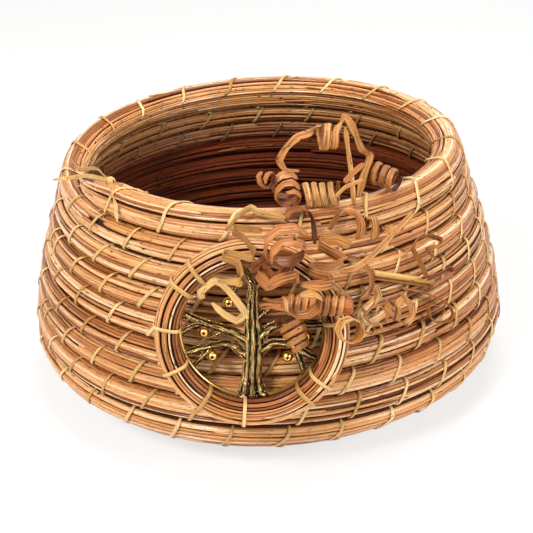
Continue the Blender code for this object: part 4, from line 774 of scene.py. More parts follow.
def add_straps(name, tree, places, material, slant, half_turn=1.70, reach=1.02, stations=12, width=STITCH_WIDTH,
               thickness_share=0.075, over_top=0.0):
    """Straps at places, each a bundle's middle with its two half sizes as vectors; the first vector faces out."""
    chooser = random.Random(name)
    middles, facings, sizes, shades, painted_bowl_shade = [], [], [], [], []
    for middle, outward, upward in places:
        # Painted shade: a stitch turned into the bowl is painted darker with depth below the rim
        faces_in = outward.dot(Vector((middle.x, middle.y, 0.0))) < 0 and outward.z > -0.004
        depth = (PAINTED_SHADE_START_HEIGHT - middle.z) / (PAINTED_SHADE_START_HEIGHT - PAINTED_SHADE_FULL_HEIGHT)
        painted_bowl_shade.append(min(1.0, max(0.0, depth)) if faces_in else 0.0)
        facing_out = outward.normalized()
        across = facing_out.cross(upward).normalized()
        up = across.cross(facing_out)
        turned = Matrix((across, facing_out, up)).transposed()
        turned = turned @ Matrix.Rotation(chooser.uniform(-0.10, 0.10), 3, "Y")
        middles.append(tuple(middle))
        facings.append(tuple(turned.to_quaternion()))
        sizes.append((chooser.uniform(0.82, 1.12), outward.length, upward.length))
        shades.append(chooser.uniform(0.15, 0.95))
    mesh = bpy.data.meshes.new(name + "_places")
    mesh.from_pydata(middles, [], [])
    for key, kind, field, values in (("facing", "QUATERNION", "value", facings), ("size", "FLOAT_VECTOR", "vector", sizes),
                                     ("shade", "FLOAT", "value", shades), ("painted_bowl_shade", "FLOAT", "value", painted_bowl_shade)):
        store = mesh.attributes.new(key, kind, "POINT")
        store.data.foreach_set(field, np.array(values, dtype=np.float32).ravel())
    source = bpy.data.objects.new(name + "_places", mesh)
    SCENE.collection.objects.link(source)
    modifier = source.modifiers.new("straps", "NODES")
    modifier.node_group = tree
    set_inputs(modifier, {"Width": width, "Slant": slant, "Slant over the top": over_top, "Reach": reach,
                          "Half turn": half_turn,
                          "Thickness share": thickness_share, "Stations": stations, "Material": material})
    return bake(name, source)


def row_places(row, spacing, first_share, last_share, stagger, inside=False):
    """Places for one row's stitches, evenly spaced along it."""
    radius = coil_place(row + 0.5)[0].xy.length
    count = round(2 * math.pi * radius * (last_share - first_share) / spacing)
    places = []
    for number in range(count):
        back = row + first_share + (last_share - first_share) * (number + stagger) / count
        middle, outward, upward = coil_place(back)
        places.append((middle, -outward, upward) if inside else (middle, outward, upward))
    return places


# The basket

def build_basket(materials, stems, straps):
    """The coil in its stretches, and the stitches of each row."""
    varnished = materials["varnished_stems"]
    shaded = materials["shaded_stems"]
    heart = materials["bundle_heart_painted_shade"]
    stretches = (
        ("rim", 0.0, 1.06, RIM_STEMS, RIM_STEM_RADIUS, 4, 0.11, "rim_coil"),
        ("wall_upper", 1.0, 5.35, WALL_STEMS, STEM_RADIUS, 14, 0.18, "wall_coil"),
        ("wall_lower", 5.25, WALL_LAST_TURN, WALL_STEMS, STEM_RADIUS, 14, 0.18, None),
        ("base", WALL_LAST_TURN - 0.1, BASE_LAST_TURN, BASE_STEMS, STEM_RADIUS, 10, 0.18, "base_coil"))
    for seed, (name, first, last, count, radius, stagger, wander, node) in enumerate(stretches, start=1):
        route = coil_route(first, last, STEM_STEP)
        piece = add_stems(name + "_stems", stems, route, count, radius, varnished, seed, wander=wander,
                          stagger=stagger)
        under = [(point, outward * UNDER_LAYER_SHARE, upward * UNDER_LAYER_SHARE) for point, outward, upward in route]
        add_stems(name + "_under", stems, under, UNDER_STEMS, UNDER_STEM_RADIUS, shaded, seed + 30, wander=0.3,
                  sides=4, stagger=stagger, loose_ends=0.0)
        add_heart(name + "_heart", route[::2], 0.74, heart)
        if name != "rim":
            # A thin core that meets the next row's, so that nothing shines through a seam; its dark colour is painted
            # shade
            add_heart(name + "_seam", route, SEAM_DEPTH_SHARE, heart, seam_share=HEART_SEAM_SHARE)
        if node:
            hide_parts(node)
    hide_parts("wall_coil")
    build_start(varnished, stems, heart)
    raffia = materials["raffia"]
    outer = []
    for row in range(1, 10):
        outer.append((f"wall_stitches_{row:02d}_straps",
                      row_places(row, WALL_STITCH_SPACING, 0.0, 1.0, (row * 0.37) % 1.0)))
    rim_places = [coil_place(FIRST_RIM_STITCH_BACK)] + row_places(0, RIM_STITCH_SPACING, 0.10, 0.99, 0.4)
    rim = add_straps("rim_straps", straps, rim_places, raffia, RIM_STITCH_SLANT, half_turn=RIM_STITCH_HALF_TURN,
                     stations=20, over_top=1.0)
    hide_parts("rim_stitches")
    for name, places in outer:
        piece = add_straps(name, straps, places, raffia, STITCH_SLANT)
        node = name[:-len("_straps")]
        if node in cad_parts:
            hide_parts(node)
    for row in range(1, 3):
        add_straps(f"inside_stitches_{row}", straps,
                   row_places(row, INSIDE_STITCH_SPACING, 0.12, 0.99, (row * 0.29) % 1.0, inside=True), raffia,
                   STITCH_SLANT, half_turn=1.5)


def build_start(varnished, stems, heart):
    """The tight first curl of the coil, at the middle of the base."""
    low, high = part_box("coil_start")
    middle = (low + high) / 2
    reach = min(high.x - low.x, high.y - low.y) / 2
    half_height = (high.z - low.z) / 2
    half_row = reach / 3
    route = []
    stations = 40
    for number in range(stations + 1):
        share = number / stations
        turn = 2 * math.pi * START_TURNS * share
        radial = Vector((math.cos(turn), math.sin(turn), 0.0))
        distance = (reach - half_row) * (1 - share) + half_row * 0.4 * share
        route.append((middle + radial * distance, UP * -half_height, radial * half_row))
    piece = add_stems("start_stems", stems, route, START_STEMS, STEM_RADIUS * 0.8, varnished, 21, wander=0.2,
                      loose_ends=0.0, stem_length=0.1)
    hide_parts("coil_start")
    # The curl's heart is one low round, so that nothing shines through its turns; its dark colour is painted shade
    core = []
    core_reach = reach + ROW_PITCH / 2
    for height_share, reach_share in ((-0.35, 0.01), (-0.35, 1.0), (0.35, 1.0), (0.35, 0.01)):
        ring = []
        for side in range(24):
            turn = 2 * math.pi * side / 24
            ring.append(middle + UP * (half_height * height_share)
                        + Vector((math.cos(turn), math.sin(turn), 0.0)) * (core_reach * reach_share))
        core.append(ring)
    vertices, faces = skin(core)
    add_piece("start_heart", vertices, faces, heart, grain=[(0.0, 0.0, 0.4)] * len(vertices))


def build_hoop(materials, stems, straps, centre):
    """Both coils of the hoop and their wraps."""
    front_depth = HOOP_COIL_WIDTH / 2 * math.cos(math.radians(30))
    back_half = HOOP_BACK_COIL_WIDTH / 2
    back_offset = -(front_depth + 0.0003 + back_half * math.cos(math.radians(30)))
    back_radius = TREE_RING_RADIUS + TREE_RING_THICKNESS / 2 + 0.0003 + back_half
    front = hoop_route(centre, HOOP_RADIUS - HOOP_COIL_WIDTH / 2, 0.0, HOOP_COIL_WIDTH / 2, HOOP_COIL_WIDTH / 2,
                       HOOP_STEM_STEP)
    back = hoop_route(centre, back_radius, back_offset, back_half, back_half, HOOP_STEM_STEP)
    varnished = materials["varnished_stems"]
    piece = add_stems("hoop_front_stems", stems, front, HOOP_STEMS, HOOP_STEM_RADIUS, varnished, 11, wander=0.12,
                      unevenness=0.06, loose_ends=0.12, stem_length=0.19, stagger=9, thinnest=0.8, thickest=1.15)
    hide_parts("hoop_front_coil")
    piece = add_stems("hoop_back_stems", stems, back, BACK_HOOP_STEMS, HOOP_STEM_RADIUS, varnished, 12, wander=0.12,
                      unevenness=0.06, loose_ends=0.12, stem_length=0.16, stagger=8, thinnest=0.8, thickest=1.15)
    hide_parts("hoop_back_coil")
    add_heart("hoop_front_heart", front[::2], 0.66, materials["bundle_heart_painted_shade"])
    add_heart("hoop_back_heart", back[::2], 0.62, materials["bundle_heart_painted_shade"])
    for number, segment in enumerate(HOOP_WRAP_SEGMENTS, start=1):
        turn = 2 * math.pi * (segment + 0.5) / HOOP_SEGMENTS
        radial = HOOP_RIGHT * math.cos(turn) + HOOP_UP * math.sin(turn)
        middle = centre + radial * (HOOP_RADIUS - HOOP_COIL_WIDTH / 2)
        half = HOOP_COIL_WIDTH / 2
        piece = add_straps(f"hoop_wrap_{number}_strap", straps, [(middle, HOOP_OUT * half, radial * half)],
                           materials["raffia"], 0.0004, half_turn=2.6, reach=1.06, stations=16, width=HOOP_WRAP_WIDTH,
                           thickness_share=0.10)
        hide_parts(f"hoop_wrap_{number}")


# The tree in the hoop

TREE_BRANCH_SHARES = {
    "trunk": (((-0.04, -0.985), 1.75), ((-0.04, -0.91), 1.38), ((-0.03, -0.74), 1.00), ((-0.01, -0.42), 0.90),
              ((0.01, -0.14), 1.02), ((0.01, 0.12), 0.80), ((0.02, 0.39), 0.62), ((0.04, 0.62), 0.46),
              ((-0.03, 0.77), 0.34), ((-0.10, 0.90), 0.20)),
    "left_root": (((-0.27, -1.00), 0.10), ((-0.19, -0.90), 0.30), ((-0.10, -0.72), 0.42), ((-0.05, -0.50), 0.36)),
    "right_root": (((0.21, -1.00), 0.10), ((0.12, -0.90), 0.30), ((0.04, -0.72), 0.42), ((0.0, -0.50), 0.36)),
    "left_upper": (((0.0, -0.22), 0.60), ((-0.18, -0.09), 0.58), ((-0.40, 0.02), 0.50), ((-0.69, 0.13), 0.42),
                   ((-0.92, 0.27), 0.26)),
    "left_upper_twig": (((-0.58, 0.09), 0.30), ((-0.80, 0.07), 0.34), ((-0.97, -0.02), 0.26)),
    "left_lower": (((-0.02, -0.44), 0.54), ((-0.16, -0.33), 0.50), ((-0.33, -0.21), 0.46), ((-0.65, -0.24), 0.42),
                   ((-0.94, -0.31), 0.32)),
    "left_lower_twig": (((-0.60, -0.27), 0.34), ((-0.72, -0.39), 0.32), ((-0.85, -0.52), 0.20)),
    "right_upper": (((0.0, -0.20), 0.62), ((0.16, -0.06), 0.56), ((0.30, 0.03), 0.48), ((0.46, 0.06), 0.44),
                    ((0.72, 0.03), 0.34), ((0.97, 0.02), 0.28)),
    "right_lower": (((0.0, -0.42), 0.52), ((0.15, -0.29), 0.52), ((0.31, -0.22), 0.48), ((0.50, -0.24), 0.44),
                    ((0.73, -0.39), 0.46), ((0.88, -0.47), 0.34)),
    "right_lower_twig": (((0.58, -0.30), 0.34), ((0.65, -0.50), 0.36), ((0.69, -0.70), 0.26)),
    "right_crown": (((0.02, 0.0), 0.50), ((0.09, 0.16), 0.44), ((0.22, 0.28), 0.38), ((0.40, 0.35), 0.28)),
    "left_crown": (((0.0, 0.10), 0.46), ((-0.07, 0.30), 0.38), ((-0.22, 0.50), 0.32), ((-0.19, 0.66), 0.24)),
    # Flared roots and thin twigs too fine for the solid
    "inner_left_root": (((-0.15, -1.00), 0.12), ((-0.11, -0.88), 0.32), ((-0.06, -0.70), 0.40), ((-0.03, -0.5), 0.3)),
    "inner_right_root": (((0.09, -1.00), 0.12), ((0.06, -0.88), 0.32), ((0.01, -0.70), 0.40), ((-0.01, -0.5), 0.3)),
    "upper_fork": (((-0.36, 0.0), 0.28), ((-0.50, -0.06), 0.24), ((-0.62, -0.12), 0.16)),
    "crown_twig": (((0.03, 0.50), 0.26), ((0.12, 0.64), 0.22), ((0.16, 0.80), 0.14)),
    "right_twig": (((0.60, 0.02), 0.24), ((0.76, 0.13), 0.22), ((0.90, 0.24), 0.16)),
}
LIMB_SIDES = 28
TREE_DEPTH_SHARE = 0.62
# Metres from one ring of a limb to the next
TREE_STATION = 0.0009


def on_hoop(centre, u, v, n):
    """A place in the hoop's frame, in metres from its centre."""
    return centre + HOOP_RIGHT * u + HOOP_UP * v + HOOP_OUT * n


def in_spray(centre, u, v, n):
    """A place in the hoop's frame, given as shares of the hoop's radius."""
    return on_hoop(centre, u * HOOP_RADIUS, v * HOOP_RADIUS, n * HOOP_RADIUS)


def limb(centre, offset, stations, seed):
    """A cast limb with wavy bark ridges along it; the relief is 1 on a ridge and 0 in a furrow."""
    points = [on_hoop(centre, u * TREE_RING_RADIUS, v * TREE_RING_RADIUS, offset) for (u, v), _ in stations]
    steps = 8
    path = smooth_path(points, steps)
    places = np.linspace(0, len(stations) - 1, len(path))
    thickness = np.interp(places, range(len(stations)), [share for _, share in stations])
    ridges = 9 if thickness.max() > 0.8 else 5
    sections, relief, grain = [], [], []
    for number, (point, tangent) in enumerate(zip(path, path_tangents(path))):
        across = tangent.cross(HOOP_OUT).normalized()
        half = thickness[number] * TREE_FOOT_RADIUS
        ring = []
        for side in range(LIMB_SIDES):
            turn = 2 * math.pi * side / LIMB_SIDES
            wave = noise.noise(Vector((number * 0.16, seed * 5.1, turn * 0.8)))
            fine = noise.noise(Vector((number * 0.45, seed * 2.3 + 40.0, turn * 2.6)))
            swell = 0.5 + 0.5 * math.sin(4 * turn + 3.6 * wave + seed)
            swell = min(1.0, max(0.0, 0.7 * swell + 0.4 * fine + 0.15))
            reach = 0.86 + 0.22 * swell
            deep = min(half, TREE_FOOT_RADIUS) * TREE_DEPTH_SHARE * 1.15
            ring.append(point + across * (half * reach * math.cos(turn)) + HOOP_OUT * (deep * reach * math.sin(turn)))
            relief.append(0.36 + 0.18 * swell)
            grain.append((number * TREE_STATION, ridges * abs(turn - math.pi), seed * 0.37))
        sections.append(ring)
    vertices, faces = skin(sections)
    return vertices, faces, relief, grain


def build_tree(materials, centre):
    """The cast tree, its ring with painted highlight and shade, and the beads on its limbs."""
    front_depth = HOOP_COIL_WIDTH / 2 * math.cos(math.radians(30))
    offset = -(front_depth + 0.0003 + TREE_RING_THICKNESS / 2)
    brass = materials["blackened_brass"]
    vertices, faces, relief, grain = [], [], [], []
    for seed, stations in enumerate(TREE_BRANCH_SHARES.values()):
        new_vertices, new_faces, new_relief, new_grain = limb(centre, offset, stations, seed)
        start = len(vertices)
        vertices.extend(new_vertices)
        faces.extend(tuple(start + index for index in face) for face in new_faces)
        relief.extend(new_relief)
        grain.extend(new_grain)
    tree = add_piece("cast_tree", vertices, faces, brass, grain=grain, relief=relief)
    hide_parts("brass_tree")
    rings, relief = [], []
    sides = 10
    for number in range(96):
        turn = 2 * math.pi * number / 96
        ring = []
        # Painted highlight and shade: the ring is painted bright on the left and black at the lower right
        painted_light = 0.62 - 0.42 * math.cos(turn + 0.7)
        for side in range(sides):
            lean = 2 * math.pi * side / sides
            distance = TREE_RING_RADIUS + TREE_RING_THICKNESS / 2 * math.cos(lean)
            ring.append(on_hoop(centre, distance * math.cos(turn), distance * math.sin(turn),
                                offset + TREE_RING_THICKNESS / 2 * math.sin(lean)))
            relief.append(painted_light)
        rings.append(ring)
    vertices, faces = skin(rings, closed=True)
    add_piece("tree_ring", vertices, faces, materials["bright_brass"], relief=relief)
    for number in range(1, 8):
        low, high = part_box(f"bead_{number}")
        build_bead(f"bead_{number}_gold", (low + high) / 2, materials["bright_brass"], f"bead_{number}")


def build_bead(name, middle, material, node):
    """A round bead with a bore and rolled lips, its axis out of the basket."""
    radius = BEAD_DIAMETER / 2
    bore = BEAD_BORE / 2
    outline = []
    start = math.asin(bore / radius)
    for step in range(15):
        turn = start + (math.pi - 2 * start) * step / 14
        outline.append((radius * math.sin(turn), radius * math.cos(turn), 1.0))
    outline.append((bore * 0.86, -radius * 0.86, 0.25))
    outline.append((bore * 0.84, 0.0, 0.0))
    outline.append((bore * 0.86, radius * 0.86, 0.25))
    rings, relief = [], []
    for side in range(28):
        turn = 2 * math.pi * side / 28
        radial = HOOP_RIGHT * math.cos(turn) + HOOP_UP * math.sin(turn)
        rings.append([middle + radial * distance + HOOP_OUT * height for distance, height, _ in outline])
        relief.extend(share for _, _, share in outline)
    vertices, faces = skin(rings, closed=True)
    bead = add_piece(name, vertices, faces, material, relief=relief)
    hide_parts(node)


# Ribbons of tendril

def mitred(points, across):
    """How much wider a ribbon is at each point, so that it keeps its width round a corner in its own plane."""
    ways = [(after - here).normalized() for here, after in zip(points, points[1:])]
    wider = []
    for number, side in enumerate(across):
        bend = (ways[min(number, len(ways) - 1)] - ways[max(number - 1, 0)]).dot(side) / 2
        wider.append(1 / max(math.sqrt(1 - bend * bend), 1 / MITRE_LIMIT))
    return wider


def ribbon_ways(points, sides):
    """The way of a ribbon's width at each of its points, square to the path."""
    return [(side - tangent * side.dot(tangent)).normalized() for tangent, side in zip(path_tangents(points), sides)]


def coarse_ribbon(points, sides, width, thickness):
    """The corners of a plain ribbon, as the part has them."""
    corners = []
    ways = ribbon_ways(points, sides)
    for point, tangent, way, wider in zip(points, path_tangents(points), ways, mitred(points, ways)):
        across = way * (width / 2 * wider)
        through = tangent.cross(across).normalized() * (thickness / 2)
        corners += [point + across + through, point - across + through, point - across - through,
                    point + across - through]
    return corners


def node_shift(corners, node):
    """How far a node's solid lies from where its corners were made."""
    low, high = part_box(node)
    made_low = Vector([min(corner[axis] for corner in corners) for axis in range(3)])
    made_high = Vector([max(corner[axis] for corner in corners) for axis in range(3)])
    return ((low + high) - (made_low + made_high)) / 2


def ribbon(points, sides, width, thickness, seed, cup=0.16, taper=(0.6, 0.35), waviness=0.16, strands=3,
           inner_side_painted_shade=INNER_SIDE_PAINTED_SHADE):
    """A split tendril along points: cupped, grooved between its strands, uneven in width and tapered at its ends."""
    chooser = random.Random(seed)
    levels = [-1 + 2 * number / (4 * strands) for number in range(4 * strands + 1)]
    distances = [0.0]
    for before, here in zip(points, points[1:]):
        distances.append(distances[-1] + (here - before).length)
    total = distances[-1]
    drift = chooser.uniform(0.0, 50.0)
    shade = chooser.uniform(0.36, 0.72)
    ways = ribbon_ways(points, sides)
    # Painted shade: the pale side is the one turned out of the basket or away from the ribbon's own middle, and the
    # other side is painted darker
    middle = sum(points, Vector()) / len(points)
    turned_out = 0.0
    for point, tangent, across in zip(points, path_tangents(points), ways):
        turned_out += tangent.cross(across).dot(HOOP_OUT + (point - middle).normalized())
    lit_side = 1 if turned_out >= 0 else -1
    sections, grain, relief = [], [], []
    for point, tangent, across, wider, distance in zip(points, path_tangents(points), ways, mitred(points, ways),
                                                       distances):
        through = tangent.cross(across).normalized()
        share = distance / total
        ends = min(1.0, taper[0] + share * 14, taper[1] + (1 - share) * 8)
        wave = noise.noise(Vector((distance * 160 + drift, seed, 0.0)))
        half = width / 2 * ends * (1 + waviness * wave) * wider
        twist = 0.20 * noise.noise(Vector((distance * 90 + drift, 9.0, seed)))
        lean = across * math.cos(twist) + through * math.sin(twist)
        rise = through * math.cos(twist) - across * math.sin(twist)
        shift = 0.3 * noise.noise(Vector((distance * 60, seed, 7.0)))
        depth = 0.75 + 0.6 * noise.noise(Vector((distance * 130 + drift, 3.0, seed)))
        ring = []
        for top in (1, -1):
            for level in (levels if top == 1 else levels[::-1]):
                edge = half * level * (1 + 0.06 * noise.noise(Vector((distance * 420, level * 3, seed))))
                groove = 0.5 + 0.5 * math.cos(2 * math.pi * strands * (level + shift) / 2 + math.pi)
                height = top * thickness / 2 * (1 - 0.45 * level * level) * (0.40 + 0.70 * groove)
                height -= cup * half * (level * level - 0.4)
                ring.append(point + lean * edge + rise * height)
                grain.append((distance + drift, level * 0.5 + (1.3 if top == 1 else 0.0),
                              shade if top == lit_side else shade - inner_side_painted_shade))
                relief.append((1 - groove) * depth)
        sections.append(ring)
    vertices, faces = skin(sections)
    return vertices, faces, grain, relief


# Wound curls. Each row holds an axis (u, v, n), a radius at the start and at the end, a width, turns, the pitch
# over the width, and a first angle in turns, in shares of the hoop's radius, as in the part.

WOUND_CURL_SHARES = {
    "curl_brown_back": ((0.15, -0.50, 0.85), (0.14, 0.12), 0.10, 2.3, 1.25, 0.55),
    "curl_ladder": ((1.00, 0.05, 0.10), (0.13, 0.13), 0.06, 4.2, 1.45, 0.50),
    "curl_small_left": ((0.60, 0.10, 0.75), (0.09, 0.08), 0.075, 1.3, 1.3, 0.80),
    "curl_rim_right": ((0.80, -0.30, 0.45), (0.13, 0.12), 0.065, 3.2, 1.5, 0.30),
    "curl_brown_wide": ((0.10, -0.50, 0.85), (0.24, 0.15), 0.125, 1.6, 1.2, 0.55),
    "curl_arch": ((0.30, -0.35, 0.85), (0.18, 0.17), 0.12, 0.9, 1.2, 0.95),
    "curl_before_tree": ((0.35, -0.90, 0.25), (0.145, 0.10), 0.055, 4.3, 1.45, 0.00),
    "curl_ring_right": ((0.20, 0.20, 0.95), (0.13, 0.12), 0.09, 2.2, 1.25, 0.35),
}

# Folded curls: a width, the way of that width (u, v, n), and stations (u, v, n) from one fold to the next, as in
# the part. A FLAT curl turns its face out of the basket all along.

FLAT = None
FOLDED_CURL_SHARES = {
    "curl_arches": (0.08, (0.8, 0.5, 0.3), (
        (0.84, 0.94, -0.45), (0.94, 1.07, -0.50), (1.04, 1.12, -0.48), (1.13, 1.11, -0.42), (1.17, 1.00, -0.38),
        (1.15, 0.85, -0.42), (1.21, 0.92, -0.52), (1.26, 1.02, -0.54), (1.30, 1.05, -0.48), (1.32, 0.95, -0.44),
        (1.31, 0.81, -0.48), (1.37, 0.84, -0.58), (1.42, 0.90, -0.60), (1.47, 0.91, -0.54), (1.48, 0.83, -0.48),
        (1.38, 0.74, -0.46), (1.20, 0.68, -0.42))),
    "curl_brown_arch": (0.085, (0.5, -0.3, 0.8), (
        (0.46, 1.02, -0.38), (0.39, 1.09, -0.36), (0.43, 1.16, -0.38), (0.53, 1.19, -0.42), (0.63, 1.15, -0.44),
        (0.67, 1.05, -0.42), (0.68, 0.94, -0.38), (0.68, 0.82, -0.34))),
    "curl_pale_rim": (0.08, (0.2, 0.9, 0.4), (
        (-0.23, 1.03, -0.36), (-0.05, 1.18, -0.48), (0.04, 1.22, -0.50), (0.11, 1.18, -0.46), (0.23, 1.15, -0.44),
        (0.39, 1.12, -0.42))),
    "curl_pale_upper": (0.075, (0.2, 1.0, 0.1), (
        (0.14, 1.02, -0.38), (-0.12, 1.09, -0.30), (-0.15, 1.06, -0.24), (-0.05, 1.03, -0.12), (0.06, 0.94, 0.12),
        (0.03, 0.90, 0.17), (-0.22, 0.96, 0.14), (-0.25, 0.92, 0.19), (-0.11, 0.86, 0.19), (-0.08, 0.73, 0.20),
        (-0.11, 0.69, 0.24), (-0.31, 0.69, 0.22))),
    "curl_pale_lower": (0.07, FLAT, (
        (-0.48, 0.41, 0.10), (-0.50, 0.49, 0.12), (-0.36, 0.61, 0.14), (-0.28, 0.58, 0.15), (-0.18, 0.46, 0.15),
        (-0.06, 0.25, 0.12), (-0.15, 0.18, 0.14), (-0.28, 0.27, 0.17), (-0.39, 0.39, 0.17))),
    "curl_brown_fan": (0.115, (0.1, 1.0, 0.1), (
        (0.01, 0.71, 0.14), (0.13, 0.80, 0.14), (0.27, 0.87, 0.16), (0.42, 0.85, 0.16), (0.45, 0.82, 0.22),
        (0.40, 0.77, 0.27), (0.26, 0.65, 0.26), (0.13, 0.76, 0.25), (0.09, 0.73, 0.30), (0.18, 0.62, 0.34),
        (0.32, 0.68, 0.34), (0.46, 0.71, 0.34), (0.48, 0.65, 0.40))),
    "curl_s_ribbon": (0.115, (0.1, 1.0, 0.1), (
        (1.04, 0.83, -0.25), (0.90, 0.89, -0.27), (0.75, 0.89, -0.26), (0.72, 0.86, -0.20), (0.82, 0.81, -0.13),
        (0.92, 0.76, -0.08), (0.95, 0.74, -0.02), (0.85, 0.70, 0.06), (0.64, 0.73, 0.13), (0.59, 0.71, 0.19),
        (0.67, 0.68, 0.24), (0.78, 0.65, 0.24), (0.81, 0.61, 0.29), (0.68, 0.60, 0.33), (0.50, 0.62, 0.33))),
    "curl_mid_right": (0.06, FLAT, (
        (1.02, 0.65, -0.25), (1.11, 0.62, -0.28), (1.19, 0.56, -0.32), (1.27, 0.43, -0.36), (1.28, 0.30, -0.36),
        (1.23, 0.21, -0.32), (1.15, 0.18, -0.26))),
    "curl_low_one": (0.08, FLAT, (
        (1.31, 0.29, -0.38), (1.34, 0.20, -0.36), (1.25, 0.12, -0.32), (1.14, 0.05, -0.26), (1.19, -0.06, -0.24),
        (1.34, -0.03, -0.32), (1.45, 0.04, -0.38))),
    "curl_low_two": (0.07, FLAT, (
        (1.42, 0.12, -0.46), (1.49, 0.02, -0.46), (1.55, -0.07, -0.50), (1.55, 0.05, -0.56), (1.62, 0.12, -0.60),
        (1.71, 0.03, -0.60), (1.71, -0.08, -0.58), (1.61, -0.13, -0.50))),
    "curl_small_right": (0.07, (0.3, 1.0, 0.3), (
        (1.92, 0.26, -0.84), (2.06, 0.28, -0.92), (2.18, 0.31, -1.00), (2.21, 0.28, -0.94), (2.06, 0.22, -0.86),
        (1.96, 0.19, -0.78))),
    "curl_hook_right": (0.07, (0.3, 0.7, 0.6), (
        (1.84, 0.28, -0.78), (1.90, 0.29, -0.80), (1.83, 0.45, -0.82), (1.76, 0.60, -0.84), (1.81, 0.70, -0.88),
        (1.94, 0.71, -0.94), (2.08, 0.64, -1.00), (2.05, 0.59, -0.94), (1.90, 0.60, -0.84), (1.99, 0.48, -0.84))),
    "curl_teardrop": (0.10, (0.15, 0.15, 1.00), (
        (1.62, 0.19, -0.70), (1.84, 0.12, -0.78), (2.04, 0.01, -0.86), (2.16, -0.09, -0.92), (2.21, -0.21, -0.96),
        (2.17, -0.28, -0.94), (2.02, -0.27, -0.86), (1.94, -0.18, -0.80), (1.92, -0.07, -0.80), (1.99, -0.06, -0.84),
        (2.10, -0.14, -0.90), (2.08, -0.21, -0.90))),
}
CURL_DARK = ("curl_brown_wide", "curl_brown_fan", "curl_brown_back", "curl_brown_arch", "curl_small_left",
             "curl_small_right")
CURL_PALE = ("curl_pale_rim", "curl_pale_upper", "curl_pale_lower")
PART_CURL_THICKNESS = 0.0008

# Fine strands too thin for the solids: a width, the way of that width, and stations (u, v, n)
FINE_STRAND_SHARES = (
    (0.030, (0.5, 0.6, 0.6), ((0.78, 0.62, 0.18), (0.90, 0.50, 0.16), (1.02, 0.37, 0.13))),
    (0.028, (0.5, 0.6, 0.6), ((0.72, 0.58, 0.18), (0.86, 0.48, 0.17), (1.00, 0.36, 0.15))),
    (0.060, (0.4, -0.9, 0.1), ((1.00, 1.46, -0.38), (1.08, 1.54, -0.40), (1.21, 1.64, -0.42))),
    (0.048, (0.3, 1.0, 0.1), ((0.90, 1.31, -0.36), (1.02, 1.41, -0.40), (1.20, 1.47, -0.42))),
    (0.042, (0.2, 0.9, 0.3), ((1.30, 0.36, -0.21), (1.28, 0.22, -0.21), (1.19, 0.11, -0.18), (1.14, 0.18, -0.18))),
    (0.036, (0.7, 0.2, 0.7), ((1.29, 0.10, -0.23), (1.34, 0.16, -0.23), (1.42, 0.08, -0.26), (1.40, -0.05, -0.28))),
    (0.034, (0.7, 0.2, 0.7), ((1.38, 0.15, -0.28), (1.43, 0.21, -0.28), (1.52, 0.11, -0.31), (1.49, -0.05, -0.33))),
    (0.036, (0.6, 0.5, 0.6), ((1.56, 0.28, -0.33), (1.66, 0.10, -0.36), (1.68, 0.01, -0.38), (1.58, -0.01, -0.36))),
    (0.034, (0.3, 0.8, 0.5), ((1.16, 0.08, -0.18), (1.24, -0.02, -0.21), (1.33, -0.03, -0.23), (1.37, -0.13, -0.26))),
    (0.030, (0.4, 0.6, 0.7), ((1.13, 0.03, -0.15), (1.15, -0.08, -0.18), (1.24, -0.14, -0.21), (1.28, -0.07, -0.23))),
)


def wound_points(row, steps, roundness):
    """A wound ribbon's middle line about the origin; roundness is how far it bulges from the part's flat sides."""
    axis_shares, radius_shares, width_share, turns, pitch_ratio, first_turn = row
    axis = (HOOP_RIGHT * axis_shares[0] + HOOP_UP * axis_shares[1] + HOOP_OUT * axis_shares[2]).normalized()
    across = axis.cross(HOOP_UP if abs(axis.dot(HOOP_UP)) < abs(axis.dot(HOOP_OUT)) else HOOP_OUT).normalized()
    third = axis.cross(across)
    pitch = width_share * HOOP_RADIUS * pitch_ratio
    count = round(turns * CURL_POINTS_PER_TURN)
    points = []
    for number in range(count * steps + 1):
        share = number / (count * steps)
        radius = (radius_shares[0] + (radius_shares[1] - radius_shares[0]) * share) * HOOP_RADIUS
        part_turn = number / steps / CURL_POINTS_PER_TURN
        corner = math.pi / CURL_POINTS_PER_TURN
        from_corner = (number % steps) / steps * 2 * corner
        flat = math.cos(corner) / math.cos(from_corner - corner)
        radius *= flat + (1 - flat) * roundness
        turn = 2 * math.pi * (first_turn + part_turn)
        rise = axis * (pitch * turns * (share - 0.5))
        points.append(across * (radius * math.cos(turn)) + third * (radius * math.sin(turn)) + rise)
    return points, axis


def finish_of(node):
    """The finish of a curl, by its node's name."""
    if node in CURL_DARK:
        return "brown_tendril"
    return "pale_tendril" if node in CURL_PALE else "tan_tendril"


def add_ribbon(node, made, materials):
    """A ribbon's mesh as the piece that stands for a curl."""
    vertices, faces, grain, relief = made
    finish = finish_of(node)
    piece = add_piece(node + "_ribbon", vertices, faces, materials[finish], grain=grain, relief=relief)
    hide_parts(node)


def build_wound_curls(materials):
    """The curls wound round an axis, each where its solid lies."""
    for seed, (node, row) in enumerate(WOUND_CURL_SHARES.items(), start=1):
        width = row[2] * HOOP_RADIUS
        corners, axis = wound_points(row, 1, 0.0)
        shift = node_shift(coarse_ribbon(corners, [axis] * len(corners), width, PART_CURL_THICKNESS), node)
        points, axis = wound_points(row, 4, 0.08)
        middle = sum(points, Vector()) / len(points)
        loose = []
        for number, point in enumerate(points):
            swing = noise.noise_vector(Vector((number * 0.11, seed * 3.3, 0.0)))
            radial = point - middle
            radial -= axis * radial.dot(axis)
            loose.append(point + shift + radial * (0.16 * swing.x) + axis * (0.0006 * swing.y))
        add_ribbon(node, ribbon(loose, [axis] * len(loose), width, CURL_THICKNESS, seed), materials)


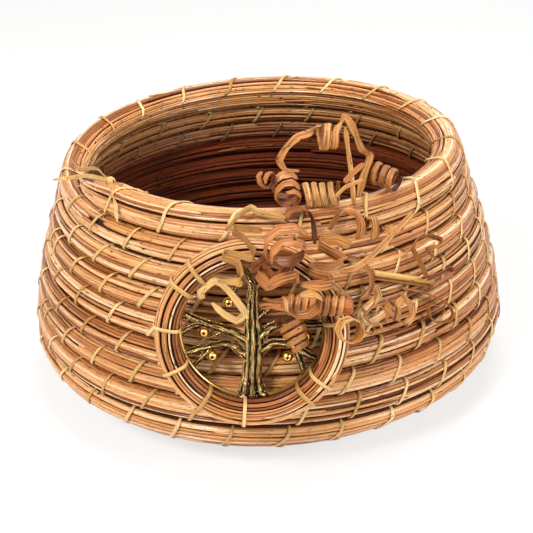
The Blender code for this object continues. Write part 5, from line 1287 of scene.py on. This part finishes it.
def build_folded_curls(materials, centre):
    """The curls folded from station to station, each where its solid lies."""
    for seed, (node, (width_share, side, stations)) in enumerate(FOLDED_CURL_SHARES.items(), start=51):
        width = width_share * HOOP_RADIUS
        points = [in_spray(centre, *station) for station in stations]
        way = None if side is FLAT else HOOP_RIGHT * side[0] + HOOP_UP * side[1] + HOOP_OUT * side[2]
        sides = [way or tangent.cross(HOOP_OUT) for tangent in path_tangents(points)]
        shift = node_shift(coarse_ribbon(points, sides, width, PART_CURL_THICKNESS), node)
        path = smooth_path([point + shift for point in points], 6, straight=0.55)
        sides = [way or tangent.cross(HOOP_OUT) for tangent in path_tangents(path)]
        add_ribbon(node, ribbon(path, sides, width, CURL_THICKNESS, seed), materials)


def build_fine_strands(materials, centre):
    """The thinnest strands of the spray, as one piece."""
    vertices, faces, grain, relief = [], [], [], []
    for seed, (width_share, side, stations) in enumerate(FINE_STRAND_SHARES, start=151):
        way = HOOP_RIGHT * side[0] + HOOP_UP * side[1] + HOOP_OUT * side[2]
        path = smooth_path([in_spray(centre, *station) for station in stations], 6, straight=0.4)
        made = ribbon(path, [way] * len(path), width_share * HOOP_RADIUS, CURL_THICKNESS, seed, strands=2)
        first = len(vertices)
        vertices.extend(made[0])
        faces.extend(tuple(first + index for index in face) for face in made[1])
        grain.extend(made[2])
        relief.extend(made[3])
    add_piece("fine_strands", vertices, faces, materials["tan_tendril"], grain=grain, relief=relief)


# Long tendrils, in shares of the hoop's radius as in the part

TALL_ROUTE_SHARES = ((1.18, 0.18, 0.0), (1.23, 0.40, 0.0), (1.31, 0.62, -0.02), (1.21, 0.74, 0.02),
                     (1.14, 0.93, 0.03), (1.08, 1.07, 0.02), (1.02, 1.12, 0.0))
TALL_COIL_PLACE_SHARES = (0.95, 0.945)
TALL_COIL_RADIUS_SHARE = 0.135
TALL_COIL_PITCH_SHARE = 0.098
TALL_COIL_TURNS = 2
TALL_HOOK_SHARES = ((0.66, 1.02, 0.02), (0.55, 1.00, 0.03), (0.43, 0.90, 0.03), (0.35, 0.76, 0.03),
                    (0.41, 0.65, 0.04), (0.55, 0.63, 0.05))
THIN_ROUTE_SHARES = ((1.12, 0.18, 0.14), (1.10, 0.45, 0.13), (1.07, 0.72, 0.11), (1.04, 0.96, 0.10))
THIN_TIP_SHARES = (1.03, 1.06, 0.09)
LONG_ROUTE_SHARES = ((1.71, 1.09, -0.75), (1.55, 0.95, -0.66), (1.39, 0.83, -0.56), (1.23, 0.72, -0.44),
                     (1.08, 0.65, -0.34), (0.91, 0.64, -0.24))
TALL_WIDTH = 0.0030
THIN_WIDTH = 0.0020
STEM_DIAMETER = 0.0066
STEM_START_SHARES = (0.30, 0.39)
STEM_END_SHARES = (1.02, 0.33)
STICK_WIDTH = 0.0042
STICK_THICKNESS = 0.0018
STICK_START_SHARES = (1.30, 0.40, 0.0)
STICK_END_SHARES = (1.98, 0.17, -0.33)
LASHING_TURNS = 8
# Metres up from the stick's middle, width and tone of its two strands
STICK_STRANDS = ((0.0007, 0.0028, 0.62), (-0.0014, 0.0013, 0.10))
# A turn about the stem, a share of its radius, and a length in shares of the hoop's radius
LOOSE_STRAND_SHARES = ((0.5, 0.55, 0.19), (1.1, 0.80, 0.16), (1.7, 0.70, 0.20), (2.3, 0.85, 0.14), (2.8, 0.60, 0.18))
LOOSE_STRAND_WIDTH = 0.0013
KNOT_ANGLE = math.radians(220)
KNOT_LEAN = math.radians(66)
KNOT_LIFT_SHARE = 0.13
KNOT_DIAMETER = 0.0042
TAIL_WIDTH = 0.0018
TAIL_THICKNESS = 0.0009
TAIL_ROUTE_SHARES = (
    ((0, 66, 0.130), (-6, 80, 0.160), (-13, 88, 0.200), (-27, 86, 0.300), (-35, 70, 0.160)),
    ((0, 66, 0.130), (-8, 48, 0.200), (-14, 16, 0.300), (-16, 0, 0.700)),
    ((0, 66, 0.130), (4, 36, 0.145), (8, 6, 0.160), (9, -16, 0.190), (10, -34, 0.300)),
)


def above_rim(centre, u, rise, out):
    """A place over the rim: how far right of the hoop's centre, over the rim's middle and out from it."""
    right = centre.x + u * HOOP_RADIUS
    forward = math.sqrt(RIM_RADIUS ** 2 - min(abs(right), RIM_RADIUS) ** 2) + out * HOOP_RADIUS
    return Vector((right, -forward, RIM_HEIGHT + rise * HOOP_RADIUS))


def smooth_ways(sides, steps):
    """Ways of a ribbon's width, turned evenly from one station to the next."""
    ways = []
    for before, after in zip(sides, sides[1:]):
        ways += [before.lerp(after, step / steps).normalized() for step in range(steps)]
    ways.append(sides[-1])
    return ways


def build_tendrils(materials, centre):
    """The long tendrils over the rim."""
    rise = [above_rim(centre, *place) for place in TALL_ROUTE_SHARES]
    coil_u, coil_rise = TALL_COIL_PLACE_SHARES
    coil = []
    for number in range(1, TALL_COIL_TURNS * CURL_POINTS_PER_TURN):
        turn = 2 * math.pi * (0.25 - number / CURL_POINTS_PER_TURN)
        u = coil_u - TALL_COIL_PITCH_SHARE * number / CURL_POINTS_PER_TURN
        coil.append(above_rim(centre, u, coil_rise + TALL_COIL_RADIUS_SHARE * math.sin(turn),
                              TALL_COIL_RADIUS_SHARE * math.cos(turn)))
    hook = [above_rim(centre, *place) for place in TALL_HOOK_SHARES]
    tall = rise + coil + hook
    across = [tangent.cross(HOOP_OUT) for tangent in path_tangents(tall)]
    across[len(rise):-len(hook)] = [HOOP_RIGHT] * len(coil)
    thin = [above_rim(centre, *place) for place in THIN_ROUTE_SHARES]
    # Beyond its solid the thin strand runs on up to the tall one's crest
    thin_tip = above_rim(centre, *THIN_TIP_SHARES)
    long_route = [in_spray(centre, *place) for place in LONG_ROUTE_SHARES]
    routes = (
        ("tendril_long", long_route, [HOOP_UP] * len(long_route), TALL_WIDTH),
        ("tendril_tall", tall, across, TALL_WIDTH),
        ("tendril_thin", thin, [HOOP_RIGHT] * len(thin), THIN_WIDTH))
    for seed, (node, points, sides, width) in enumerate(routes, start=33):
        shift = node_shift(coarse_ribbon(points, sides, width, PART_CURL_THICKNESS), node)
        stations = [point + shift for point in points]
        if node == "tendril_thin":
            stations.append(thin_tip + shift)
            sides = [*sides, sides[-1]]
        path = smooth_path(stations, 6, straight=0.35)
        made = ribbon(path, smooth_ways(sides, 6), width, CURL_THICKNESS, seed, waviness=0.22, strands=2,
                      inner_side_painted_shade=0.05)
        add_ribbon(node, made, materials)


def build_vine_stem(materials, centre):
    """The vine stem with its close lashing, and the split stick."""
    start = in_spray(centre, *STEM_START_SHARES, 0.0)
    end = in_spray(centre, *STEM_END_SHARES, 0.0)
    along = (end - start).normalized()
    side = along.cross(HOOP_OUT).normalized()
    radius = STEM_DIAMETER / 2
    corners = [point + (side * math.cos(turn) + HOOP_OUT * math.sin(turn)) * radius for point in (start, end)
               for turn in (math.pi * number / 3 for number in range(6))]
    shift = node_shift(corners, "vine_stem")
    start, end = start + shift, end + shift
    sections, grain = [], []
    length = (end - start).length
    for number in range(25):
        share = number / 24
        ring = []
        for corner in range(20):
            turn = 2 * math.pi * corner / 20
            knot = 1 + 0.05 * noise.noise(Vector((share * 5, math.cos(turn) * 1.5, math.sin(turn) * 1.5)))
            rounding = min(1.0, 0.82 + share * 6, 0.82 + (1 - share) * 6)
            reach = radius * 0.96 * knot * rounding
            ring.append(start.lerp(end, share) + (side * math.cos(turn) + HOOP_OUT * math.sin(turn)) * reach)
            grain.append((share * length, corner / 20 * 3, 0.45))
        sections.append(ring)
    vertices, faces = skin(sections)
    # Strands that stand out of the stem's torn left end
    for number, (lean, reach_share, length_share) in enumerate(LOOSE_STRAND_SHARES):
        lift = (side * math.cos(lean) + HOOP_OUT * math.sin(lean)) * (radius * reach_share)
        tip = start - along * (length_share * HOOP_RADIUS) + lift * 1.15
        strand = smooth_path([start.lerp(end, 0.12) + lift * 0.8, start + lift, start.lerp(tip, 0.5) + lift * 0.15,
                              tip], 5)
        made = ribbon(strand, [HOOP_UP] * len(strand), LOOSE_STRAND_WIDTH, 0.0008, 120 + number, waviness=0.25,
                      strands=1)
        first = len(vertices)
        vertices.extend(made[0])
        faces.extend(tuple(first + index for index in face) for face in made[1])
        grain.extend(made[2])
    piece = add_piece("vine_stem_round", vertices, faces, materials["brown_tendril"], grain=grain)
    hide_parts("vine_stem")
    # The lashing: one flat strand in close turns
    count = LASHING_TURNS * 20
    points = []
    for number in range(count + 1):
        share = number / count
        turn = 2 * math.pi * LASHING_TURNS * share
        place = start.lerp(end, 0.10 + 0.80 * share)
        points.append(place + (side * math.cos(turn) + HOOP_OUT * math.sin(turn)) * (radius + 0.0005))
    made = ribbon(points, [along] * len(points), 0.0021, 0.0007, 77, cup=0.0, waviness=0.06, strands=2)
    add_ribbon("stem_lashing", made, materials)
    stick_start = in_spray(centre, *STICK_START_SHARES)
    stick_end = in_spray(centre, *STICK_END_SHARES)
    way = (stick_end - stick_start).normalized()
    shift = node_shift(coarse_ribbon([stick_start, stick_end], [HOOP_UP] * 2, STICK_WIDTH, STICK_THICKNESS),
                       "split_stick")
    path = [(stick_start + shift).lerp(stick_end + shift, step / 16) for step in range(17)]
    across = (HOOP_UP - way * HOOP_UP.dot(way)).normalized()
    out = way.cross(across).normalized()
    out = out if out.dot(HOOP_OUT) > 0 else -out
    # A thick yellow half stem above, and a thin brown one close under it
    vertices, faces, grain = [], [], []
    for rise, width, shade in STICK_STRANDS:
        sections = []
        for number, point in enumerate(path):
            ring = []
            wave = 1 + 0.08 * noise.noise(Vector((number * 0.4, shade * 9, 3.0)))
            for corner in range(13):
                turn = math.pi * corner / 12
                ring.append(point + across * (rise + width / 2 * wave * math.cos(turn))
                            + out * (STICK_THICKNESS * (math.sin(turn) * 0.95 - 0.45)))
                grain.append((number * 0.0016, corner / 6, shade))
            sections.append(ring)
        first = len(vertices)
        made_vertices, made_faces = skin(sections)
        vertices.extend(made_vertices)
        faces.extend(tuple(first + index for index in face) for face in made_faces)
    piece = add_piece("split_stick_round", vertices, faces, materials["pale_tendril"], grain=grain)
    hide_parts("split_stick")


def beside_rim(turn, lean, lift_share):
    """A place beside the rim's coil: an angle about the basket, one about the coil, and a lift off it."""
    back = (turn - RIM_END_ANGLE) / (2 * math.pi) % 1.0
    middle, outward, upward = coil_place(back)
    reach = RIM_THICKNESS * (0.5 + lift_share)
    return middle + (outward.normalized() * math.cos(lean) + upward.normalized() * math.sin(lean)) * reach


def build_knot(materials):
    """The raffia knot on the rim with its three tails."""
    middle = beside_rim(KNOT_ANGLE, KNOT_LEAN, KNOT_LIFT_SHARE)
    radial = Vector((math.cos(KNOT_ANGLE), math.sin(KNOT_ANGLE), 0.0))
    way = radial.cross(UP) + UP
    corners = [middle + Vector((0.0, 0.0, KNOT_DIAMETER / 2 * 0.9)), middle - Vector((0.0, 0.0, KNOT_DIAMETER / 2 * 0.9))]
    routes = []
    for route in TAIL_ROUTE_SHARES:
        points = [beside_rim(KNOT_ANGLE + math.radians(turn), math.radians(lean), lift) for turn, lean, lift in route]
        routes.append(points)
        corners += coarse_ribbon(points, [way] * len(points), TAIL_WIDTH, TAIL_THICKNESS)
    shift = node_shift(corners, "raffia_knot")
    vertices, faces, grain = [], [], []

    def gather(made):
        start = len(vertices)
        vertices.extend(made[0])
        faces.extend(tuple(start + index for index in face) for face in made[1])
        grain.extend(made[2])

    for number, points in enumerate(routes):
        path = smooth_path([point + shift for point in points], 8)
        gather(ribbon(path, [way] * len(path), TAIL_WIDTH, 0.0005, 90 + number, taper=(0.8, 0.15), strands=2))
    # Three tight turns of the strand, seen as the knot
    out = (beside_rim(KNOT_ANGLE, KNOT_LEAN, 1.0) - beside_rim(KNOT_ANGLE, KNOT_LEAN, 0.0)).normalized()
    first = out.cross(UP).normalized()
    for number, lean in enumerate((0.2, 1.25, 2.3)):
        axis = first * math.cos(lean) + out.cross(first) * math.sin(lean)
        third = axis.cross(out)
        loop = []
        for step in range(25):
            turn = 2 * math.pi * step / 22
            reach = KNOT_DIAMETER / 2 * (0.80 + 0.09 * number)
            loop.append(middle + shift + out * (reach * 0.85 * math.cos(turn)) + third * (reach * math.sin(turn)))
        gather(ribbon(loop, [axis] * len(loop), 0.0016, 0.0005, 95 + number, strands=2))
    piece = add_piece("raffia_knot_strands", vertices, faces, materials["raffia"], grain=grain)
    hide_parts("raffia_knot")


# Camera, light and floor

def build_stage():
    """The floor, the lamps, the world and the camera."""
    floor_mesh = bpy.data.meshes.new("floor")
    reach = 6.0
    floor_mesh.from_pydata([(-reach, -reach, -0.0002), (reach, -reach, -0.0002), (reach, reach, -0.0002),
                            (-reach, reach, -0.0002)], [], [(0, 1, 2, 3)])
    floor = bpy.data.objects.new("floor", floor_mesh)
    SCENE.collection.objects.link(floor)
    # A white studio sweep: full white to the eye, plain paper to the light
    material, tree, shader = new_material("paper_floor")
    shader.inputs["Base Color"].default_value = linear("#ebe9e6")
    shader.inputs["Roughness"].default_value = 0.9
    eye = add_node(tree, "ShaderNodeLightPath")
    seen = add_node(tree, "ShaderNodeMath", {0: eye.outputs["Is Camera Ray"], 1: eye.outputs["Is Glossy Ray"]},
                    operation="MAXIMUM")
    seen = add_node(tree, "ShaderNodeMath", {0: seen.outputs[0], 1: eye.outputs["Is Transmission Ray"]},
                    operation="MAXIMUM")
    share = add_node(tree, "ShaderNodeMath", {0: seen.outputs[0], 1: 0.72}, operation="MULTIPLY")
    white = add_node(tree, "ShaderNodeEmission", {"Color": (1.0, 1.0, 1.0, 1.0), "Strength": 1.0})
    blend = add_node(tree, "ShaderNodeMixShader", {0: share.outputs[0], 1: shader.outputs[0], 2: white.outputs[0]})
    tree.links.new(blend.outputs[0], tree.nodes["Material Output"].inputs["Surface"])
    floor_mesh.materials.append(material)

    world = bpy.data.worlds.new("studio")
    SCENE.world = world
    world.use_nodes = True
    tree = world.node_tree
    ray = add_node(tree, "ShaderNodeLightPath")
    seen = add_node(tree, "ShaderNodeMath", {0: ray.outputs["Is Camera Ray"], 1: ray.outputs["Is Glossy Ray"]},
                    operation="MAXIMUM")
    seen = add_node(tree, "ShaderNodeMath", {0: seen.outputs[0], 1: ray.outputs["Is Transmission Ray"]},
                    operation="MAXIMUM")
    strength = add_node(tree, "ShaderNodeMapRange", {0: seen.outputs[0], 3: 0.34, 4: 1.0})
    background = tree.nodes["Background"]
    background.inputs["Color"].default_value = (1.0, 1.0, 1.0, 1.0)
    tree.links.new(strength.outputs[0], background.inputs["Strength"])

    for name, place, size, power in (("key", (-0.55, -0.75, 0.95), 0.28, 14.5), ("fill", (0.8, -0.6, 0.6), 0.40, 6.6),
                                     ("top", (0.1, 0.15, 1.2), 0.45, 9.0)):
        light = bpy.data.lights.new(name, "AREA")
        light.size = size
        light.energy = power
        lamp = bpy.data.objects.new(name, light)
        lamp.location = place
        lamp.rotation_euler = (Vector((0.0, 0.0, 0.06)) - Vector(place)).to_track_quat("-Z", "Y").to_euler()
        SCENE.collection.objects.link(lamp)

    elevation = math.radians(28.0)
    roll = math.radians(2.23)
    forward = Vector((0.0, math.cos(elevation), -math.sin(elevation)))
    right = Vector((1.0, 0.0, 0.0))
    up = right.cross(forward)
    tilted_up = up * math.cos(roll) + right * math.sin(roll)
    tilted_right = forward.cross(tilted_up)
    camera_data = bpy.data.cameras.new("camera")
    camera_data.sensor_width = 36.0
    camera_data.lens = 1203.0 / 533.0 * 36.0
    camera_data.clip_start = 0.01
    camera = bpy.data.objects.new("camera", camera_data)
    camera.matrix_world = Matrix((tilted_right, tilted_up, -forward)).transposed().to_4x4()
    camera.location = Vector((-0.0002, 0.0, 0.0435)) - forward * 0.600
    SCENE.collection.objects.link(camera)
    SCENE.camera = camera
    SCENE.view_settings.view_transform = "Standard"


def main():
    materials = make_materials()
    stems = stem_tree()
    straps = strap_tree()
    low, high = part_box("hoop_front_coil")
    centre = (low + high) / 2
    build_basket(materials, stems, straps)
    build_hoop(materials, stems, straps, centre)
    build_tree(materials, centre)
    build_wound_curls(materials)
    build_folded_curls(materials, centre)
    build_fine_strands(materials, centre)
    build_tendrils(materials, centre)
    build_vine_stem(materials, centre)
    build_knot(materials)
    build_stage()
    for node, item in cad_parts.items():
        if not item.hide_render:
            print("still the plain solid:", node)


main()
